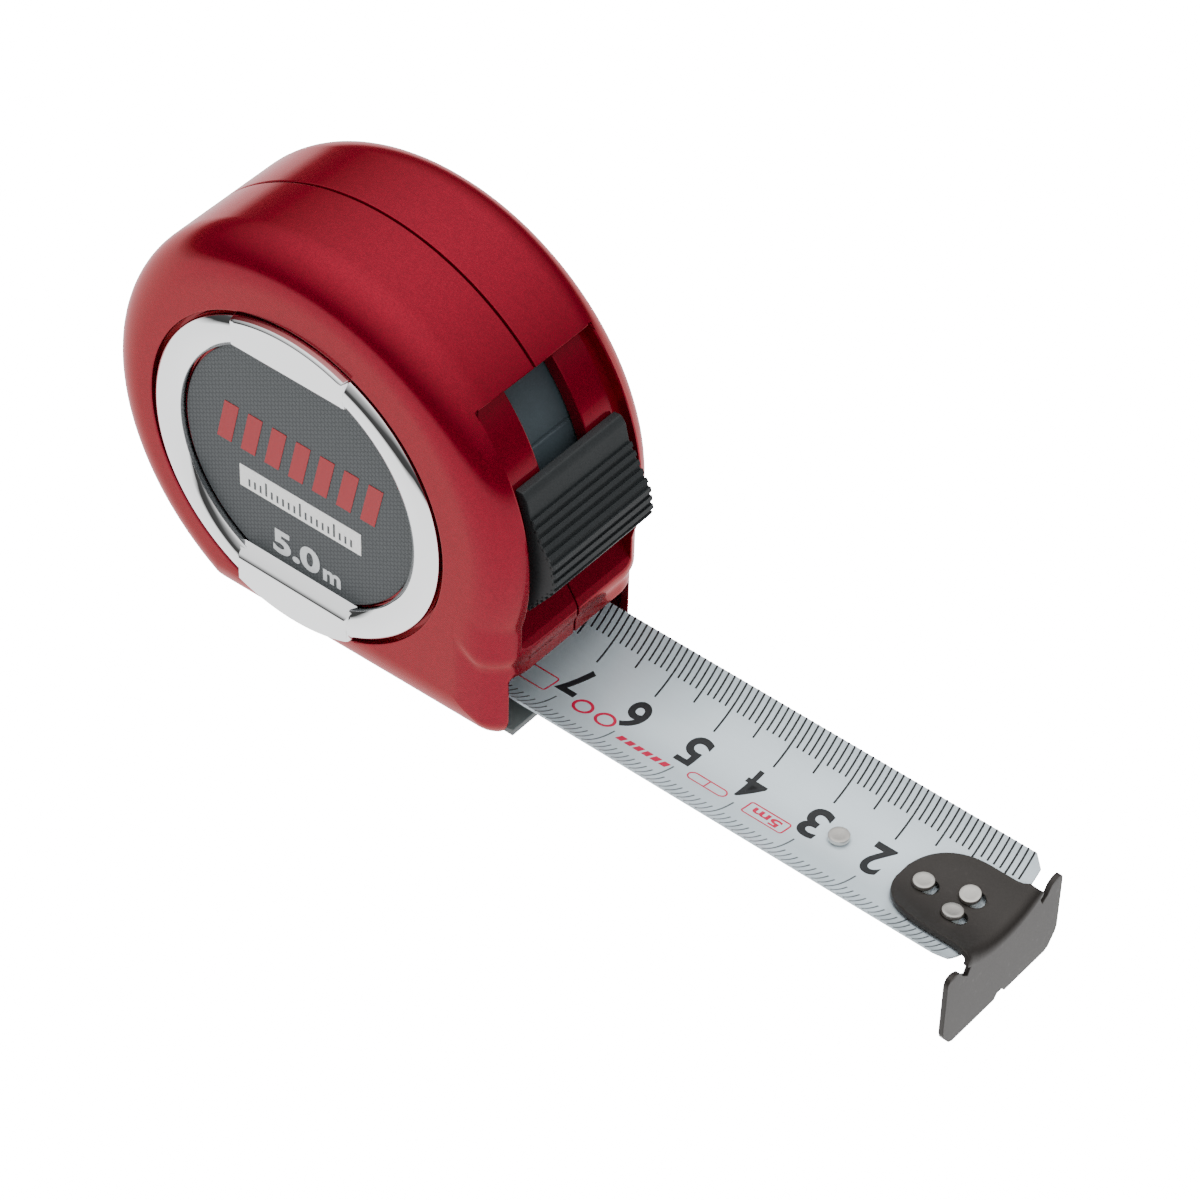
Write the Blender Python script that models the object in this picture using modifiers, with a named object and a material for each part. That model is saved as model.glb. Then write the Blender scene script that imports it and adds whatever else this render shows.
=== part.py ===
"""Pocket tape measure with a 25 mm steel blade, thumb slide lock and belt clip, drawn out 70 mm.

Sizes are in millimetres and become metres when a mesh is made. The working axes are: X towards the hook,
Y across the blade with the badge on the -Y side, Z up from the base. The reel's axis is at X = 0 and the
case parts at Y = 0. The root empty then moves the whole tape so that the world origin is at the centre
of the underside of its box.
"""

import math

import bmesh
import bpy
from mathutils import Matrix, Vector

MM = 0.001
CLEAR = 0.3  # gap left between pieces that touch or are cut to each other

# Blade
BLADE_W = 25.0
BLADE_T = 0.3
BLADE_OUT = 70.0  # drawn out, from the case's front to the scale's zero
BLADE_CURVE_R = 16.5  # outer radius of the hollow section
BLADE_RISE = 0.7  # the blade leaves the reel this much higher than it lies in the mouth
FLAT_X = 4.0  # ahead of the reel's axis, the blade starts to take its hollow form
BLADE_SHORT = 1.2  # the blade ends this far short of the hook plate

# Case
CASE_R = 35.6  # round back and top, at the parting line
CASE_X = 1.2  # centre of the round, ahead of the reel's axis
BASE_CUT, FRONT_CUT = 4.5, 1.2  # how deep the flat base and front cut the round
CASE_EDGE_R = 6.5  # soft rounding of the side edges
WALL = 1.8
SIDE_ROOM = 0.8  # between the blade's edge and the shell
SIDE_WALL = 0.9  # behind the badge's seat
SEAT_DEPTH = 1.7  # shallow round seat for ring and disc
CAVITY_EDGE_R = 3.0
FRONT_FOOT_R = 5.0
REAR_FOOT_R = 5.0

# Badge
RING_MARGIN = 10.7  # from the ring to the case's round outline
RING_W = 4.9
RING_PROUD = 0.9  # crest above the case's side
LUG_DEPTH = 2.0  # the lugs' straight inner edges reach this far over the disc
LUG_PROUD = 1.3
BADGE_T = 0.4

# Reel
REEL_DROP = 0.9  # the reel's axis below the centre of the case's round
COIL_BUILD = 10.0  # depth of the wound blade
COIL_TURNS = 8
DRUM_WALL = 0.9
DRUM_INSET = 0.2  # the drum is this much narrower than the blade, each side
WEB_T = 1.2
POST_R = 2.9
SPRING_TURNS = 6
SPRING_T = 0.35
LINER_MARGIN, LINER_T = 0.6, 0.2

# Hook
PLAY = 0.9  # the hook slides by its own thickness
HOOK_T = 0.8
TONGUE_L = 15.9
TONGUE_HALF_W = 6.9
PLATE_UP = 2.6  # ears, above the blade's lowest line
PLATE_DOWN = 10.7  # plate, below the same line
RIVET_R = 1.5
RIVET_SHANK_R = 1.0
REAR_RIVET, FRONT_RIVETS, STOP_RIVET = 12.3, 6.3, 25.9  # back from the zero
RIVET_SPREAD = 2.15

# Mouth
MOUTH_SIDE_ROOM = 1.0
MOUTH_TOP_ROOM = 4.8  # above the blade's edges
BUMPER_T = 1.1
BUMPER_L = 8.0
GROOVE_HALF_W = 4.4
GROOVE_DEPTH = 0.7

# Lock
CHEEK = 4.7  # shell left beside the recess
RAIL_DEPTH = 2.0
RAIL_T = 2.0
RECESS_TOP, RECESS_BOTTOM = 42.4, -17.1  # degrees about the case's centre
SLOT_HALF_W = 4.6
BUTTON_ROOM = 1.2  # beside the button, in the recess
BUTTON_TOP, BUTTON_BOTTOM = 22.3, -13.5  # degrees
BUTTON_REACH = 4.4  # tip ahead of the case's front
ARM_T = 1.2
ARM_LAP = 0.8  # the arm overlaps the slot's edges
ARM_TOP, ARM_BOTTOM = 45.0, -14.0  # degrees
PAD_SPAN = (1.0, 12.0)  # degrees above the arm's lower end
LEAF_SPAN = (8.0, 38.0)  # degrees
LEAF_BOW = 1.6
LEAF_T = 0.4

# Fasteners
BOSS_R = 3.0
BOSS_HOLE_R = 1.2
BOSS_INSET = 4.7  # from the case's round outline
BOSS_ANGLES = (85.0, 150.0, 234.0)
LOW_BOSS_INSET, LOW_BOSS_ANGLE = 5.8, -28.5  # the fourth, between lock and mouth
CASE_SCREW_R, CASE_SCREW_HEAD_R, CASE_SCREW_HEAD_T = 0.9, 2.1, 1.4
CASE_SCREW_BITE = 8.0  # into the left shell's bosses
COUNTERBORE_DEPTH = 2.9
CLIP_SCREW_R, CLIP_SCREW_HEAD_R, CLIP_SCREW_HEAD_T = 1.4, 3.2, 1.3
CLIP_SCREW_BITE = 6.0

# Belt clip
CLIP_T = 1.0
CLIP_W = 20.0
CLIP_GAP = 4.6
CLIP_PAD = 9.2  # pad below the screw
CLIP_TOP_ROOM = 20.5  # bend line below the case's top
CLIP_END_Z = 12.0
CLIP_FLARE = 1.8

FINISHES = {  # colour, metallic, roughness
    "case_red": ((0.52, 0.008, 0.020), 0.35, 0.22),
    "chrome": ((0.80, 0.82, 0.83), 1.0, 0.08),
    "badge_black": ((0.035, 0.038, 0.042), 0.0, 0.45),
    "guide_grey": ((0.20, 0.21, 0.21), 0.0, 0.45),
    "lock_black": ((0.025, 0.027, 0.029), 0.0, 0.38),
    "slate_plastic": ((0.075, 0.090, 0.100), 0.0, 0.40),
    "brake_rubber": ((0.03, 0.03, 0.03), 0.0, 0.80),
    "spring_steel": ((0.42, 0.42, 0.44), 1.0, 0.30),
    "reel_plastic": ((0.10, 0.10, 0.11), 0.0, 0.50),
    "liner_film": ((0.75, 0.75, 0.72), 0.0, 0.35),
    "blade_enamel": ((0.60, 0.66, 0.70), 0.2, 0.25),
    "black_steel": ((0.045, 0.042, 0.040), 0.9, 0.40),
    "nickel": ((0.78, 0.77, 0.74), 1.0, 0.28),
    "clip_steel": ((0.62, 0.63, 0.65), 1.0, 0.22),
    "zinc_screw": ((0.55, 0.55, 0.56), 1.0, 0.30),
}

# What fits is worked out from the sizes above
CASE_Z = CASE_R - BASE_CUT
FRONT_X = CASE_X + CASE_R - FRONT_CUT
CAVITY_HALF_W = BLADE_W / 2 + SIDE_ROOM
SEAT_Y = -CAVITY_HALF_W - SIDE_WALL
CASE_HALF_W = CAVITY_HALF_W + SIDE_WALL + SEAT_DEPTH
RING_R = CASE_R - RING_MARGIN
SEAT_R = RING_R + 2 * CLEAR
BADGE_R = RING_R - RING_W
LUG_CHORD = BADGE_R - LUG_DEPTH
LUG_FACE_Y = -CASE_HALF_W - LUG_PROUD

BUMPER_Z = WALL + CLEAR
TROUGH_Z = BUMPER_Z + BUMPER_T + CLEAR  # underside of the blade's middle
CURVE_Z = TROUGH_Z + BLADE_CURVE_R  # centre line of the blade's hollow
HALF_CURVE = BLADE_W / 2 / BLADE_CURVE_R  # radians
EDGE_Y = BLADE_CURVE_R * math.sin(HALF_CURVE)
EDGE_Z = CURVE_Z - BLADE_CURVE_R * math.cos(HALF_CURVE)
MOUTH_HALF_W = EDGE_Y + MOUTH_SIDE_ROOM
MOUTH_TOP = EDGE_Z + MOUTH_TOP_ROOM

AXIS_Z = CASE_Z - REEL_DROP
COIL_R = AXIS_Z - TROUGH_Z - BLADE_RISE - BLADE_T - CLEAR
DRUM_R = COIL_R - COIL_BUILD
DRUM_HALF_W = BLADE_W / 2 - DRUM_INSET

ZERO_X = FRONT_X + BLADE_OUT  # inner face of the hook plate
HOOK_FACE_X = ZERO_X + HOOK_T
PLATE_HALF_W = BLADE_W / 2
PLATE_TOP = TROUGH_Z + PLATE_UP
PLATE_BOTTOM = TROUGH_Z - PLATE_DOWN

RECESS_HALF_W = CASE_HALF_W - CHEEK
RAIL_R = CASE_R - RAIL_DEPTH  # floor of the recess, about the case's centre
BACKING_R = RAIL_R - RAIL_T
BUTTON_HALF_W = RECESS_HALF_W - BUTTON_ROOM
BUTTON_TIP_X = FRONT_X + BUTTON_REACH
ARM_HALF_W = SLOT_HALF_W + ARM_LAP
ARM_R = BACKING_R - 2 * CLEAR

COUNTERBORE_Y = CASE_HALF_W - COUNTERBORE_DEPTH
CLIP_FACE_Y = CASE_HALF_W + CLEAR
CLIP_BACK_Y = CLIP_FACE_Y + 2 * CLIP_T + CLIP_GAP + CLIP_FLARE
WORLD_SHIFT = Vector((
    -(CASE_X - CASE_R + HOOK_FACE_X) / 2,
    -(LUG_FACE_Y + CLIP_BACK_Y) / 2,
    -PLATE_BOTTOM,
))
CENTRE = (CASE_X, 0.0, CASE_Z)
AXIS = (0.0, 0.0, AXIS_Z)


# ---------------------------------------------------------------- scene and helpers

def clear_scene():
    for old in list(bpy.data.objects):
        bpy.data.objects.remove(old)


def make_collection(name, hidden=False):
    made = bpy.data.collections.new(name)
    bpy.context.scene.collection.children.link(made)
    made.hide_render = hidden
    return made


def make_finish(name):
    colour, metallic, roughness = FINISHES[name]
    material = bpy.data.materials.new(name)
    material.use_nodes = True
    shader = material.node_tree.nodes["Principled BSDF"]
    shader.inputs["Base Color"].default_value = (*colour, 1.0)
    shader.inputs["Metallic"].default_value = metallic
    shader.inputs["Roughness"].default_value = roughness
    return material


def add_object(name, mesh, finish=None, at=(0, 0, 0), turn=(0, 0, 0)):
    """Links a mesh under the root empty, as a part with a finish or as a hidden cutter."""
    obj = bpy.data.objects.new(name, mesh)
    obj.location = Vector(at) * MM
    obj.rotation_euler = [math.radians(angle) for angle in turn]
    obj.parent = ROOT
    if finish:
        PARTS.objects.link(obj)
        mesh.materials.append(MATERIALS[finish])
        mesh.shade_smooth()
        mesh.set_sharp_from_angle(angle=math.radians(35))
    else:
        CUTTERS.objects.link(obj)
        obj.hide_render = True
        obj.display_type = "WIRE"
    return obj


def mesh_from(bm, name):
    bmesh.ops.remove_doubles(bm, verts=bm.verts, dist=1e-6)
    bmesh.ops.recalc_face_normals(bm, faces=bm.faces)
    mesh = bpy.data.meshes.new(name)
    bm.to_mesh(mesh)
    bm.free()
    return mesh


def boolean(obj, other, operation="DIFFERENCE"):
    modifier = obj.modifiers.new(f"{operation.lower()}_{other.name}", "BOOLEAN")
    modifier.operation = operation
    modifier.solver = "EXACT"
    modifier.object = other


def baked(name, carrier):
    """The mesh that a curve or a modifier stack makes, with its seams merged. The carrier is removed."""
    bpy.context.scene.collection.objects.link(carrier)
    graph = bpy.context.evaluated_depsgraph_get()
    made = bpy.data.meshes.new_from_object(carrier.evaluated_get(graph))
    bpy.data.objects.remove(carrier)
    bm = bmesh.new()
    bm.from_mesh(made)
    bpy.data.meshes.remove(made)
    return mesh_from(bm, name)


def outline_mesh(name, outlines, thickness):
    """Fills closed (x, y) outlines, the inner ones as holes, to a plate centred on local Z = 0."""
    curve = bpy.data.curves.new(name, "CURVE")
    curve.dimensions = "2D"
    curve.fill_mode = "BOTH"
    curve.extrude = thickness * MM / 2
    for outline in outlines:
        spline = curve.splines.new("POLY")
        spline.points.add(len(outline) - 1)
        spline.use_cyclic_u = True
        for point, (x, y) in zip(spline.points, outline):
            point.co = (x * MM, y * MM, 0.0, 1.0)
    return baked(name, bpy.data.objects.new(name, curve))


def side_plate(name, outlines, y_low, y_high, finish=None, about=(0, 0, 0)):
    """A plate drawn in (x, z) and filled between two Y planes, with its origin at about."""
    shifted = [[(x - about[0], z - about[2]) for x, z in outline] for outline in outlines]
    mesh = outline_mesh(name, shifted, y_high - y_low)
    mesh.transform(Matrix.Rotation(math.radians(90), 4, "X"))
    mesh.transform(Matrix.Translation((0, ((y_low + y_high) / 2 - about[1]) * MM, 0)))
    return add_object(name, mesh, finish, about)


def front_plate(name, outline, x_low, x_high, finish=None):
    """A plate drawn in (y, z) and filled between two X planes."""
    mesh = outline_mesh(name, [outline], x_high - x_low)
    mesh.transform(Matrix.Rotation(math.radians(90), 4, "X"))
    mesh.transform(Matrix.Rotation(math.radians(90), 4, "Z"))
    mesh.transform(Matrix.Translation(((x_low + x_high) / 2 * MM, 0, 0)))
    return add_object(name, mesh, finish)


def turned(name, profile, finish=None, at=(0, 0, 0), turn=(-90, 0, 0), steps=40):
    """Turns a (radius, height) profile about local Z, which lies along +Y by default.

    The profile runs down its outer side. One that starts off the axis is closed to a ring.
    """
    edges = [(index, index + 1) for index in range(len(profile) - 1)]
    if profile[0][0] > 0:
        edges.append((len(profile) - 1, 0))
    mesh = bpy.data.meshes.new(name)
    mesh.from_pydata([(r * MM, 0, h * MM) for r, h in profile], edges, [])
    carrier = bpy.data.objects.new(name, mesh)
    lathe = carrier.modifiers.new("lathe", "SCREW")
    lathe.steps = steps
    lathe.render_steps = steps
    lathe.use_merge_vertices = True
    lathe.merge_threshold = 1e-5
    return add_object(name, baked(name, carrier), finish, at, turn)


def rod(radius, low, high):
    """Profile of a plain cylinder for turned()."""
    return [(0, high), (radius, high), (radius, low), (0, low)]


def tube(inner, outer, low, high):
    """Profile of a plain ring for turned()."""
    return [(inner, high), (outer, high), (outer, low), (inner, low)]


def block(name, low, high, finish=None):
    bm = bmesh.new()
    bmesh.ops.create_cube(bm, size=1.0)
    size = Vector(high) - Vector(low)
    middle = (Vector(high) + Vector(low)) / 2
    bmesh.ops.scale(bm, vec=size * MM, verts=bm.verts)
    bmesh.ops.translate(bm, vec=middle * MM, verts=bm.verts)
    return add_object(name, mesh_from(bm, name), finish)


def loft(name, rings, finish=None):
    """Joins rings of equal length with quads and closes the two ends."""
    bm = bmesh.new()
    rows = [[bm.verts.new(Vector(point) * MM) for point in ring] for ring in rings]
    for row, following in zip(rows, rows[1:]):
        for index in range(len(row)):
            ahead = (index + 1) % len(row)
            bm.faces.new((row[index], row[ahead], following[ahead], following[index]))
    bm.faces.new(rows[0])
    bm.faces.new(rows[-1])
    return add_object(name, mesh_from(bm, name), finish)


def sheet(name, along, across, place, thickness, finish=None, offset=-1.0):
    """A grid laid out by place(u, v), with u from 0 to 1 and v from -1 to 1, made solid."""
    bm = bmesh.new()
    bmesh.ops.create_grid(bm, x_segments=along, y_segments=across, size=1.0)
    for vert in bm.verts:
        vert.co = Vector(place((vert.co.x + 1) / 2, vert.co.y)) * MM
    mesh = bpy.data.meshes.new(name)
    bm.to_mesh(mesh)
    bm.free()
    obj = add_object(name, mesh, finish)
    solid = obj.modifiers.new("thickness", "SOLIDIFY")
    solid.thickness = thickness * MM
    solid.offset = offset
    return obj


def arc(centre, radius, start, end, steps):
    """Points of an arc in a plane, with angles in degrees."""
    points = []
    for step in range(steps + 1):
        angle = math.radians(start + (end - start) * step / steps)
        points.append((centre[0] + radius * math.cos(angle), centre[1] + radius * math.sin(angle)))
    return points


def on_case(radius, degrees):
    angle = math.radians(degrees)
    return CASE_X + radius * math.cos(angle), CASE_Z + radius * math.sin(angle)


def sector(inner, outer, low, high, steps):
    """Closed outline of a curved strip about the case's centre."""
    centre = (CASE_X, CASE_Z)
    return arc(centre, outer, low, high, steps) + arc(centre, inner, high, low, steps)


# ---------------------------------------------------------------- case

def case_outline(inset):
    """Side outline of the case, drawn in by inset: flat base, upright front, round top and back."""
    radius = CASE_R - inset
    front = FRONT_X - inset
    foot = max(FRONT_FOOT_R - inset, 0.5)
    heel = max(REAR_FOOT_R - inset, 0.5)
    meet = -math.degrees(math.acos((front - CASE_X) / radius))
    heel_z = inset + heel
    heel_x = CASE_X - math.sqrt((radius - heel) ** 2 - (CASE_Z - heel_z) ** 2)
    heel_angle = math.degrees(math.atan2(heel_z - CASE_Z, heel_x - CASE_X))
    points = arc((front - foot, inset + foot), foot, -90, 0, 5)
    points += arc((CASE_X, CASE_Z), radius, meet, 360 + heel_angle, 44)
    points += arc((heel_x, heel_z), heel, 360 + heel_angle, 270, 4)[1:]
    return points


def case_rings(side, inner, half_width, edge_radius, inset, steps=5):
    """Rings of the case outline from the parting plane out to the rounded side."""
    levels = [(inner, inset)]
    for step in range(steps + 1):
        turn = math.radians(90 * step / steps)
        y = half_width - edge_radius + edge_radius * math.sin(turn)
        levels.append((y, inset + edge_radius * (1 - math.cos(turn))))
    return [[(x, side * y, z) for x, z in case_outline(drawn_in)] for y, drawn_in in levels]


def cavity_cutter():
    """The hollow of both shells, less the wall left behind the lock's rails."""
    right = case_rings(1, 0.0, CAVITY_HALF_W, CAVITY_EDGE_R, WALL, 3)
    left = case_rings(-1, 0.0, CAVITY_HALF_W, CAVITY_EDGE_R, WALL, 3)
    cavity = loft("cavity_cutter", left[:0:-1] + right[1:])
    backing = sector(BACKING_R, CASE_R + 2, RECESS_BOTTOM - 6, RECESS_TOP + 4, 16)
    wall = side_plate("rail_wall_cutter", [backing], -CASE_HALF_W, CASE_HALF_W)
    boolean(cavity, wall)
    return cavity


def recess_cutter():
    """The open front that the lock's button slides in, ending below in a sloping sill."""
    outline = arc((CASE_X, CASE_Z), RAIL_R, RECESS_TOP, RECESS_BOTTOM, 16)
    sill_z = on_case(RAIL_R, RECESS_BOTTOM)[1]
    outline += [(FRONT_X + 1.0, sill_z - 4.0), (FRONT_X + 12, sill_z), on_case(CASE_R + 12, RECESS_TOP)]
    return side_plate("recess_cutter", [outline], -RECESS_HALF_W, RECESS_HALF_W)


def slot_cutter():
    """The slot between the rails that the button's neck runs in."""
    outline = sector(BACKING_R - 1, RAIL_R + 1, RECESS_BOTTOM + 4, RECESS_TOP - 0.7, 12)
    return side_plate("slot_cutter", [outline], -SLOT_HALF_W, SLOT_HALF_W)


def mouth_cutter():
    low = (FRONT_X - 9.0, -MOUTH_HALF_W, WALL - 0.2)
    return block("mouth_cutter", low, (FRONT_X + 3.0, MOUTH_HALF_W, MOUTH_TOP))


def boss_places():
    round_places = [on_case(CASE_R - BOSS_INSET, angle) for angle in BOSS_ANGLES]
    return round_places + [on_case(CASE_R - LOW_BOSS_INSET, LOW_BOSS_ANGLE)]


def pegs(name, radius, y_low, y_high, steps):
    """One plain cylinder along Y at each case screw's place."""
    bm = bmesh.new()
    upright = Matrix.Rotation(math.pi / 2, 4, "X")
    for x, z in boss_places():
        place = Matrix.Translation(Vector((x, (y_low + y_high) / 2, z)) * MM) @ upright
        bmesh.ops.create_cone(
            bm, cap_ends=True, segments=steps, radius1=radius * MM, radius2=radius * MM,
            depth=(y_high - y_low) * MM, matrix=place,
        )
    return add_object(name, mesh_from(bm, name))


def add_bosses(shell, side):
    """Screw bosses from the shell's side wall to the parting plane, bored for the screws."""
    ends = sorted((side * CLEAR, side * (CAVITY_HALF_W + CLEAR)))
    boolean(shell, pegs(f"bosses_{shell.name}", BOSS_R, *ends, steps=22), "UNION")
    ends = (-CASE_SCREW_BITE - 1.0, 2 * CLEAR) if side < 0 else (-CLEAR, CASE_HALF_W + 2)
    boolean(shell, pegs(f"holes_{shell.name}", BOSS_HOLE_R, *ends, steps=14))
    if side > 0:
        sink_r = CASE_SCREW_HEAD_R + CLEAR
        boolean(shell, pegs("sinks", sink_r, COUNTERBORE_Y, CASE_HALF_W + 1, steps=18))


def case_left(cutters):
    shell = loft("case_left", case_rings(-1, CLEAR / 2, CASE_HALF_W, CASE_EDGE_R, 0.0), "case_red")
    for cutter in cutters:
        boolean(shell, cutter)
    add_bosses(shell, -1)
    seat = turned("seat_cutter", rod(SEAT_R, -CASE_HALF_W - 2, SEAT_Y), at=AXIS, steps=48)
    boolean(shell, seat)
    return shell


def case_right(cutters):
    shell = loft("case_right", case_rings(1, CLEAR / 2, CASE_HALF_W, CASE_EDGE_R, 0.0), "case_red")
    for cutter in cutters:
        boolean(shell, cutter)
    add_bosses(shell, 1)
    bore = rod(CLIP_SCREW_R + CLEAR, CAVITY_HALF_W - 1, CASE_HALF_W + 1)
    boolean(shell, turned("clip_screw_cutter", bore, at=AXIS, steps=20))
    return shell


def mouth_bumper():
    """Guide plate on the mouth's floor, grooved so that the rivets' tails pass."""
    front = FRONT_X - 1.0
    half_w = MOUTH_HALF_W - CLEAR
    top = BUMPER_Z + BUMPER_T
    plate = block("mouth_bumper", (front - BUMPER_L, -half_w, BUMPER_Z), (front, half_w, top), "guide_grey")
    groove_low = (front - BUMPER_L - 1, -GROOVE_HALF_W, top - GROOVE_DEPTH)
    boolean(plate, block("groove_cutter", groove_low, (front + 1, GROOVE_HALF_W, top + 1)))
    return plate


# ---------------------------------------------------------------- badge

def bezel_ring():
    """Bright ring with a rounded crest and two raised lugs that clip it over the disc."""
    base = SEAT_Y - CLEAR
    side = -CASE_HALF_W
    crest = side - RING_PROUD
    middle = (BADGE_R + RING_R) / 2
    profile = [
        (BADGE_R + CLEAR, base), (RING_R, base), (RING_R - 0.5, side - 0.2), (middle + 0.5, crest),
        (middle - 0.9, crest + 0.1), (BADGE_R + 0.6, side + 0.2),
    ]
    ring = turned("bezel_ring", profile, "chrome", at=AXIS, steps=56)
    half = math.degrees(math.acos(LUG_CHORD / (BADGE_R + CLEAR))) + 1.0
    reach = LUG_CHORD * math.tan(math.radians(half))
    edge = math.degrees(math.atan2(RING_R - 1.0, reach))
    for number, sign in enumerate((1, -1), 1):
        arch = [(x, sign * z + AXIS_Z) for x, z in arc((0, 0), RING_R + 0.3, edge, 180 - edge, 8)]
        outline = [(-reach, sign * LUG_CHORD + AXIS_Z), (reach, sign * LUG_CHORD + AXIS_Z)] + arch
        boolean(ring, side_plate(f"lug_{number}", [outline], LUG_FACE_Y, SEAT_Y - BADGE_T - 2 * CLEAR), "UNION")
    return ring


def label_disc():
    """Thin printed disc in the ring, behind its lugs."""
    high = SEAT_Y - CLEAR
    return turned("label_disc", rod(BADGE_R, high - BADGE_T, high - CLEAR / 3), "badge_black", at=AXIS, steps=56)


# ---------------------------------------------------------------- reel

def spiral_outline(inner, outer, turns, thickness, start, per_turn):
    """Closed outline of a wound strip, from its outer end at start degrees inwards, clockwise."""
    total = int(turns * per_turn)
    outside, inside = [], []
    for step in range(total + 1):
        share = step / total
        angle = math.radians(start) - math.tau * turns * share
        radius = outer + (inner - outer) * share
        outside.append((radius * math.cos(angle), AXIS_Z + radius * math.sin(angle)))
        radius -= thickness
        inside.append((radius * math.cos(angle), AXIS_Z + radius * math.sin(angle)))
    return outside + inside[::-1]


def blade_coil():
    """The wound-up rest of the blade, its outer end leaving from the reel's underside."""
    inner = DRUM_R + CLEAR
    pitch = (COIL_R - inner) / (COIL_TURNS + 0.5)
    outline = spiral_outline(inner + pitch, COIL_R, COIL_TURNS, pitch / 2, -90, 30)
    return side_plate("blade_coil", [outline], -BLADE_W / 2, BLADE_W / 2, "blade_enamel", AXIS)


def reel_drum():
    """Drum that the blade winds on, with a web on the badge side that turns on the post."""
    inner = DRUM_R - DRUM_WALL
    web = -DRUM_HALF_W + WEB_T
    profile = [
        (POST_R + CLEAR, web), (inner, web), (inner, DRUM_HALF_W), (DRUM_R, DRUM_HALF_W),
        (DRUM_R, -DRUM_HALF_W), (POST_R + CLEAR, -DRUM_HALF_W),
    ]
    return turned("reel_drum", profile, "reel_plastic", at=AXIS)


def drum_cover():
    """Disc that closes the drum over the spring."""
    outer = DRUM_R - DRUM_WALL - CLEAR
    profile = tube(POST_R + CLEAR, outer, DRUM_HALF_W - WEB_T, DRUM_HALF_W)
    return turned("drum_cover", profile, "reel_plastic", at=AXIS)


def power_spring():
    """Flat spring that winds the blade in, wound between post and drum."""
    outer = DRUM_R - DRUM_WALL - CLEAR
    inner = POST_R + 2 * CLEAR + SPRING_T
    outline = spiral_outline(inner, outer, SPRING_TURNS, SPRING_T, -90, 22)
    high = DRUM_HALF_W - WEB_T - CLEAR
    return side_plate("power_spring", [outline], -high, high, "spring_steel", AXIS)


def centre_post():
    """Fixed stud between the shells that the reel turns on, slotted for the spring's inner end."""
    reach = CAVITY_HALF_W - CLEAR
    post = turned("centre_post", rod(POST_R, -reach, reach), "reel_plastic", at=AXIS, steps=28)
    slot_low = (-CLEAR, -reach - 1, AXIS_Z)
    boolean(post, block("post_slot_cutter", slot_low, (CLEAR, DRUM_HALF_W - WEB_T, AXIS_Z + POST_R + 1)))
    tap = rod(CLIP_SCREW_R + CLEAR, reach - CLIP_SCREW_BITE - 1.0, reach + 1)
    boolean(post, turned("post_tap_cutter", tap, at=AXIS, steps=20))
    return post


def side_liner(name, side):
    """Slippery film disc between the coil's edges and the shell."""
    near = BLADE_W / 2 + CLEAR
    ends = sorted((side * near, side * (near + LINER_T)))
    profile = tube(POST_R + CLEAR, COIL_R + LINER_MARGIN, *ends)
    return turned(name, profile, "liner_film", at=AXIS, steps=48)


# ---------------------------------------------------------------- blade and hook

def blade_point(x, across):
    """Underside of the blade: flat where it leaves the reel, hollow from the mouth outwards."""
    flat_z = TROUGH_Z + BLADE_RISE
    share = min(max((x - FLAT_X) / (FRONT_X - BUMPER_L - FLAT_X), 0.0), 1.0)
    share = share * share * (3 - 2 * share)
    bend = max(share, 1e-3) / BLADE_CURVE_R
    middle = flat_z + (TROUGH_Z - flat_z) * share
    return x, math.sin(across * bend) / bend, middle + (1 - math.cos(across * bend)) / bend


def rivet_places():
    """Name, X and sideways lean in degrees of each rivet in the blade."""
    lean = math.degrees(math.asin(RIVET_SPREAD / BLADE_CURVE_R))
    return [
        ("hook_rivet_1", ZERO_X - REAR_RIVET, 0.0),
        ("hook_rivet_2", ZERO_X - FRONT_RIVETS, lean),
        ("hook_rivet_3", ZERO_X - FRONT_RIVETS, -lean),
        ("stop_rivet", ZERO_X - STOP_RIVET, 0.0),
    ]


def blade():
    """The drawn-out blade, from the reel's underside to the hook, with its end corners cut."""
    end_x = ZERO_X - BLADE_SHORT

    def place(u, v):
        x = end_x * u
        corner = max(0.0, x - end_x + 1.6)
        return blade_point(x, v * (BLADE_W / 2 - corner))

    strip = sheet("blade", 44, 10, place, BLADE_T, "blade_enamel", 1.0)
    for name, x, lean in rivet_places():
        hole = rod(RIVET_SHANK_R + CLEAR, -BLADE_CURVE_R - 2, -BLADE_CURVE_R + 2)
        boolean(strip, turned(f"blade_hole_{name}", hole, at=(x, 0, CURVE_Z), turn=(lean, 0, 0), steps=16))
    return strip


def rivet(name, x, lean):
    """Flat-headed rivet, standing square to the hollow of the blade."""
    on_hook = name != "stop_rivet"
    top = BLADE_CURVE_R - BLADE_T - CLEAR
    if on_hook:
        top -= HOOK_T + CLEAR / 2
    head_r = RIVET_R if on_hook else RIVET_R - 0.25
    tail = -BLADE_CURVE_R - 0.55
    profile = [
        (0, -top + 0.6), (head_r - 0.15, -top + 0.6), (head_r, -top + 0.45), (head_r, -top),
        (RIVET_SHANK_R, -top), (RIVET_SHANK_R, tail + 0.3), (RIVET_R - 0.1, tail + 0.3),
        (RIVET_R - 0.1, tail), (0, tail),
    ]
    return turned(name, profile, "nickel", at=(x, 0, CURVE_Z), turn=(lean, 0, 0), steps=20)


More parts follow.
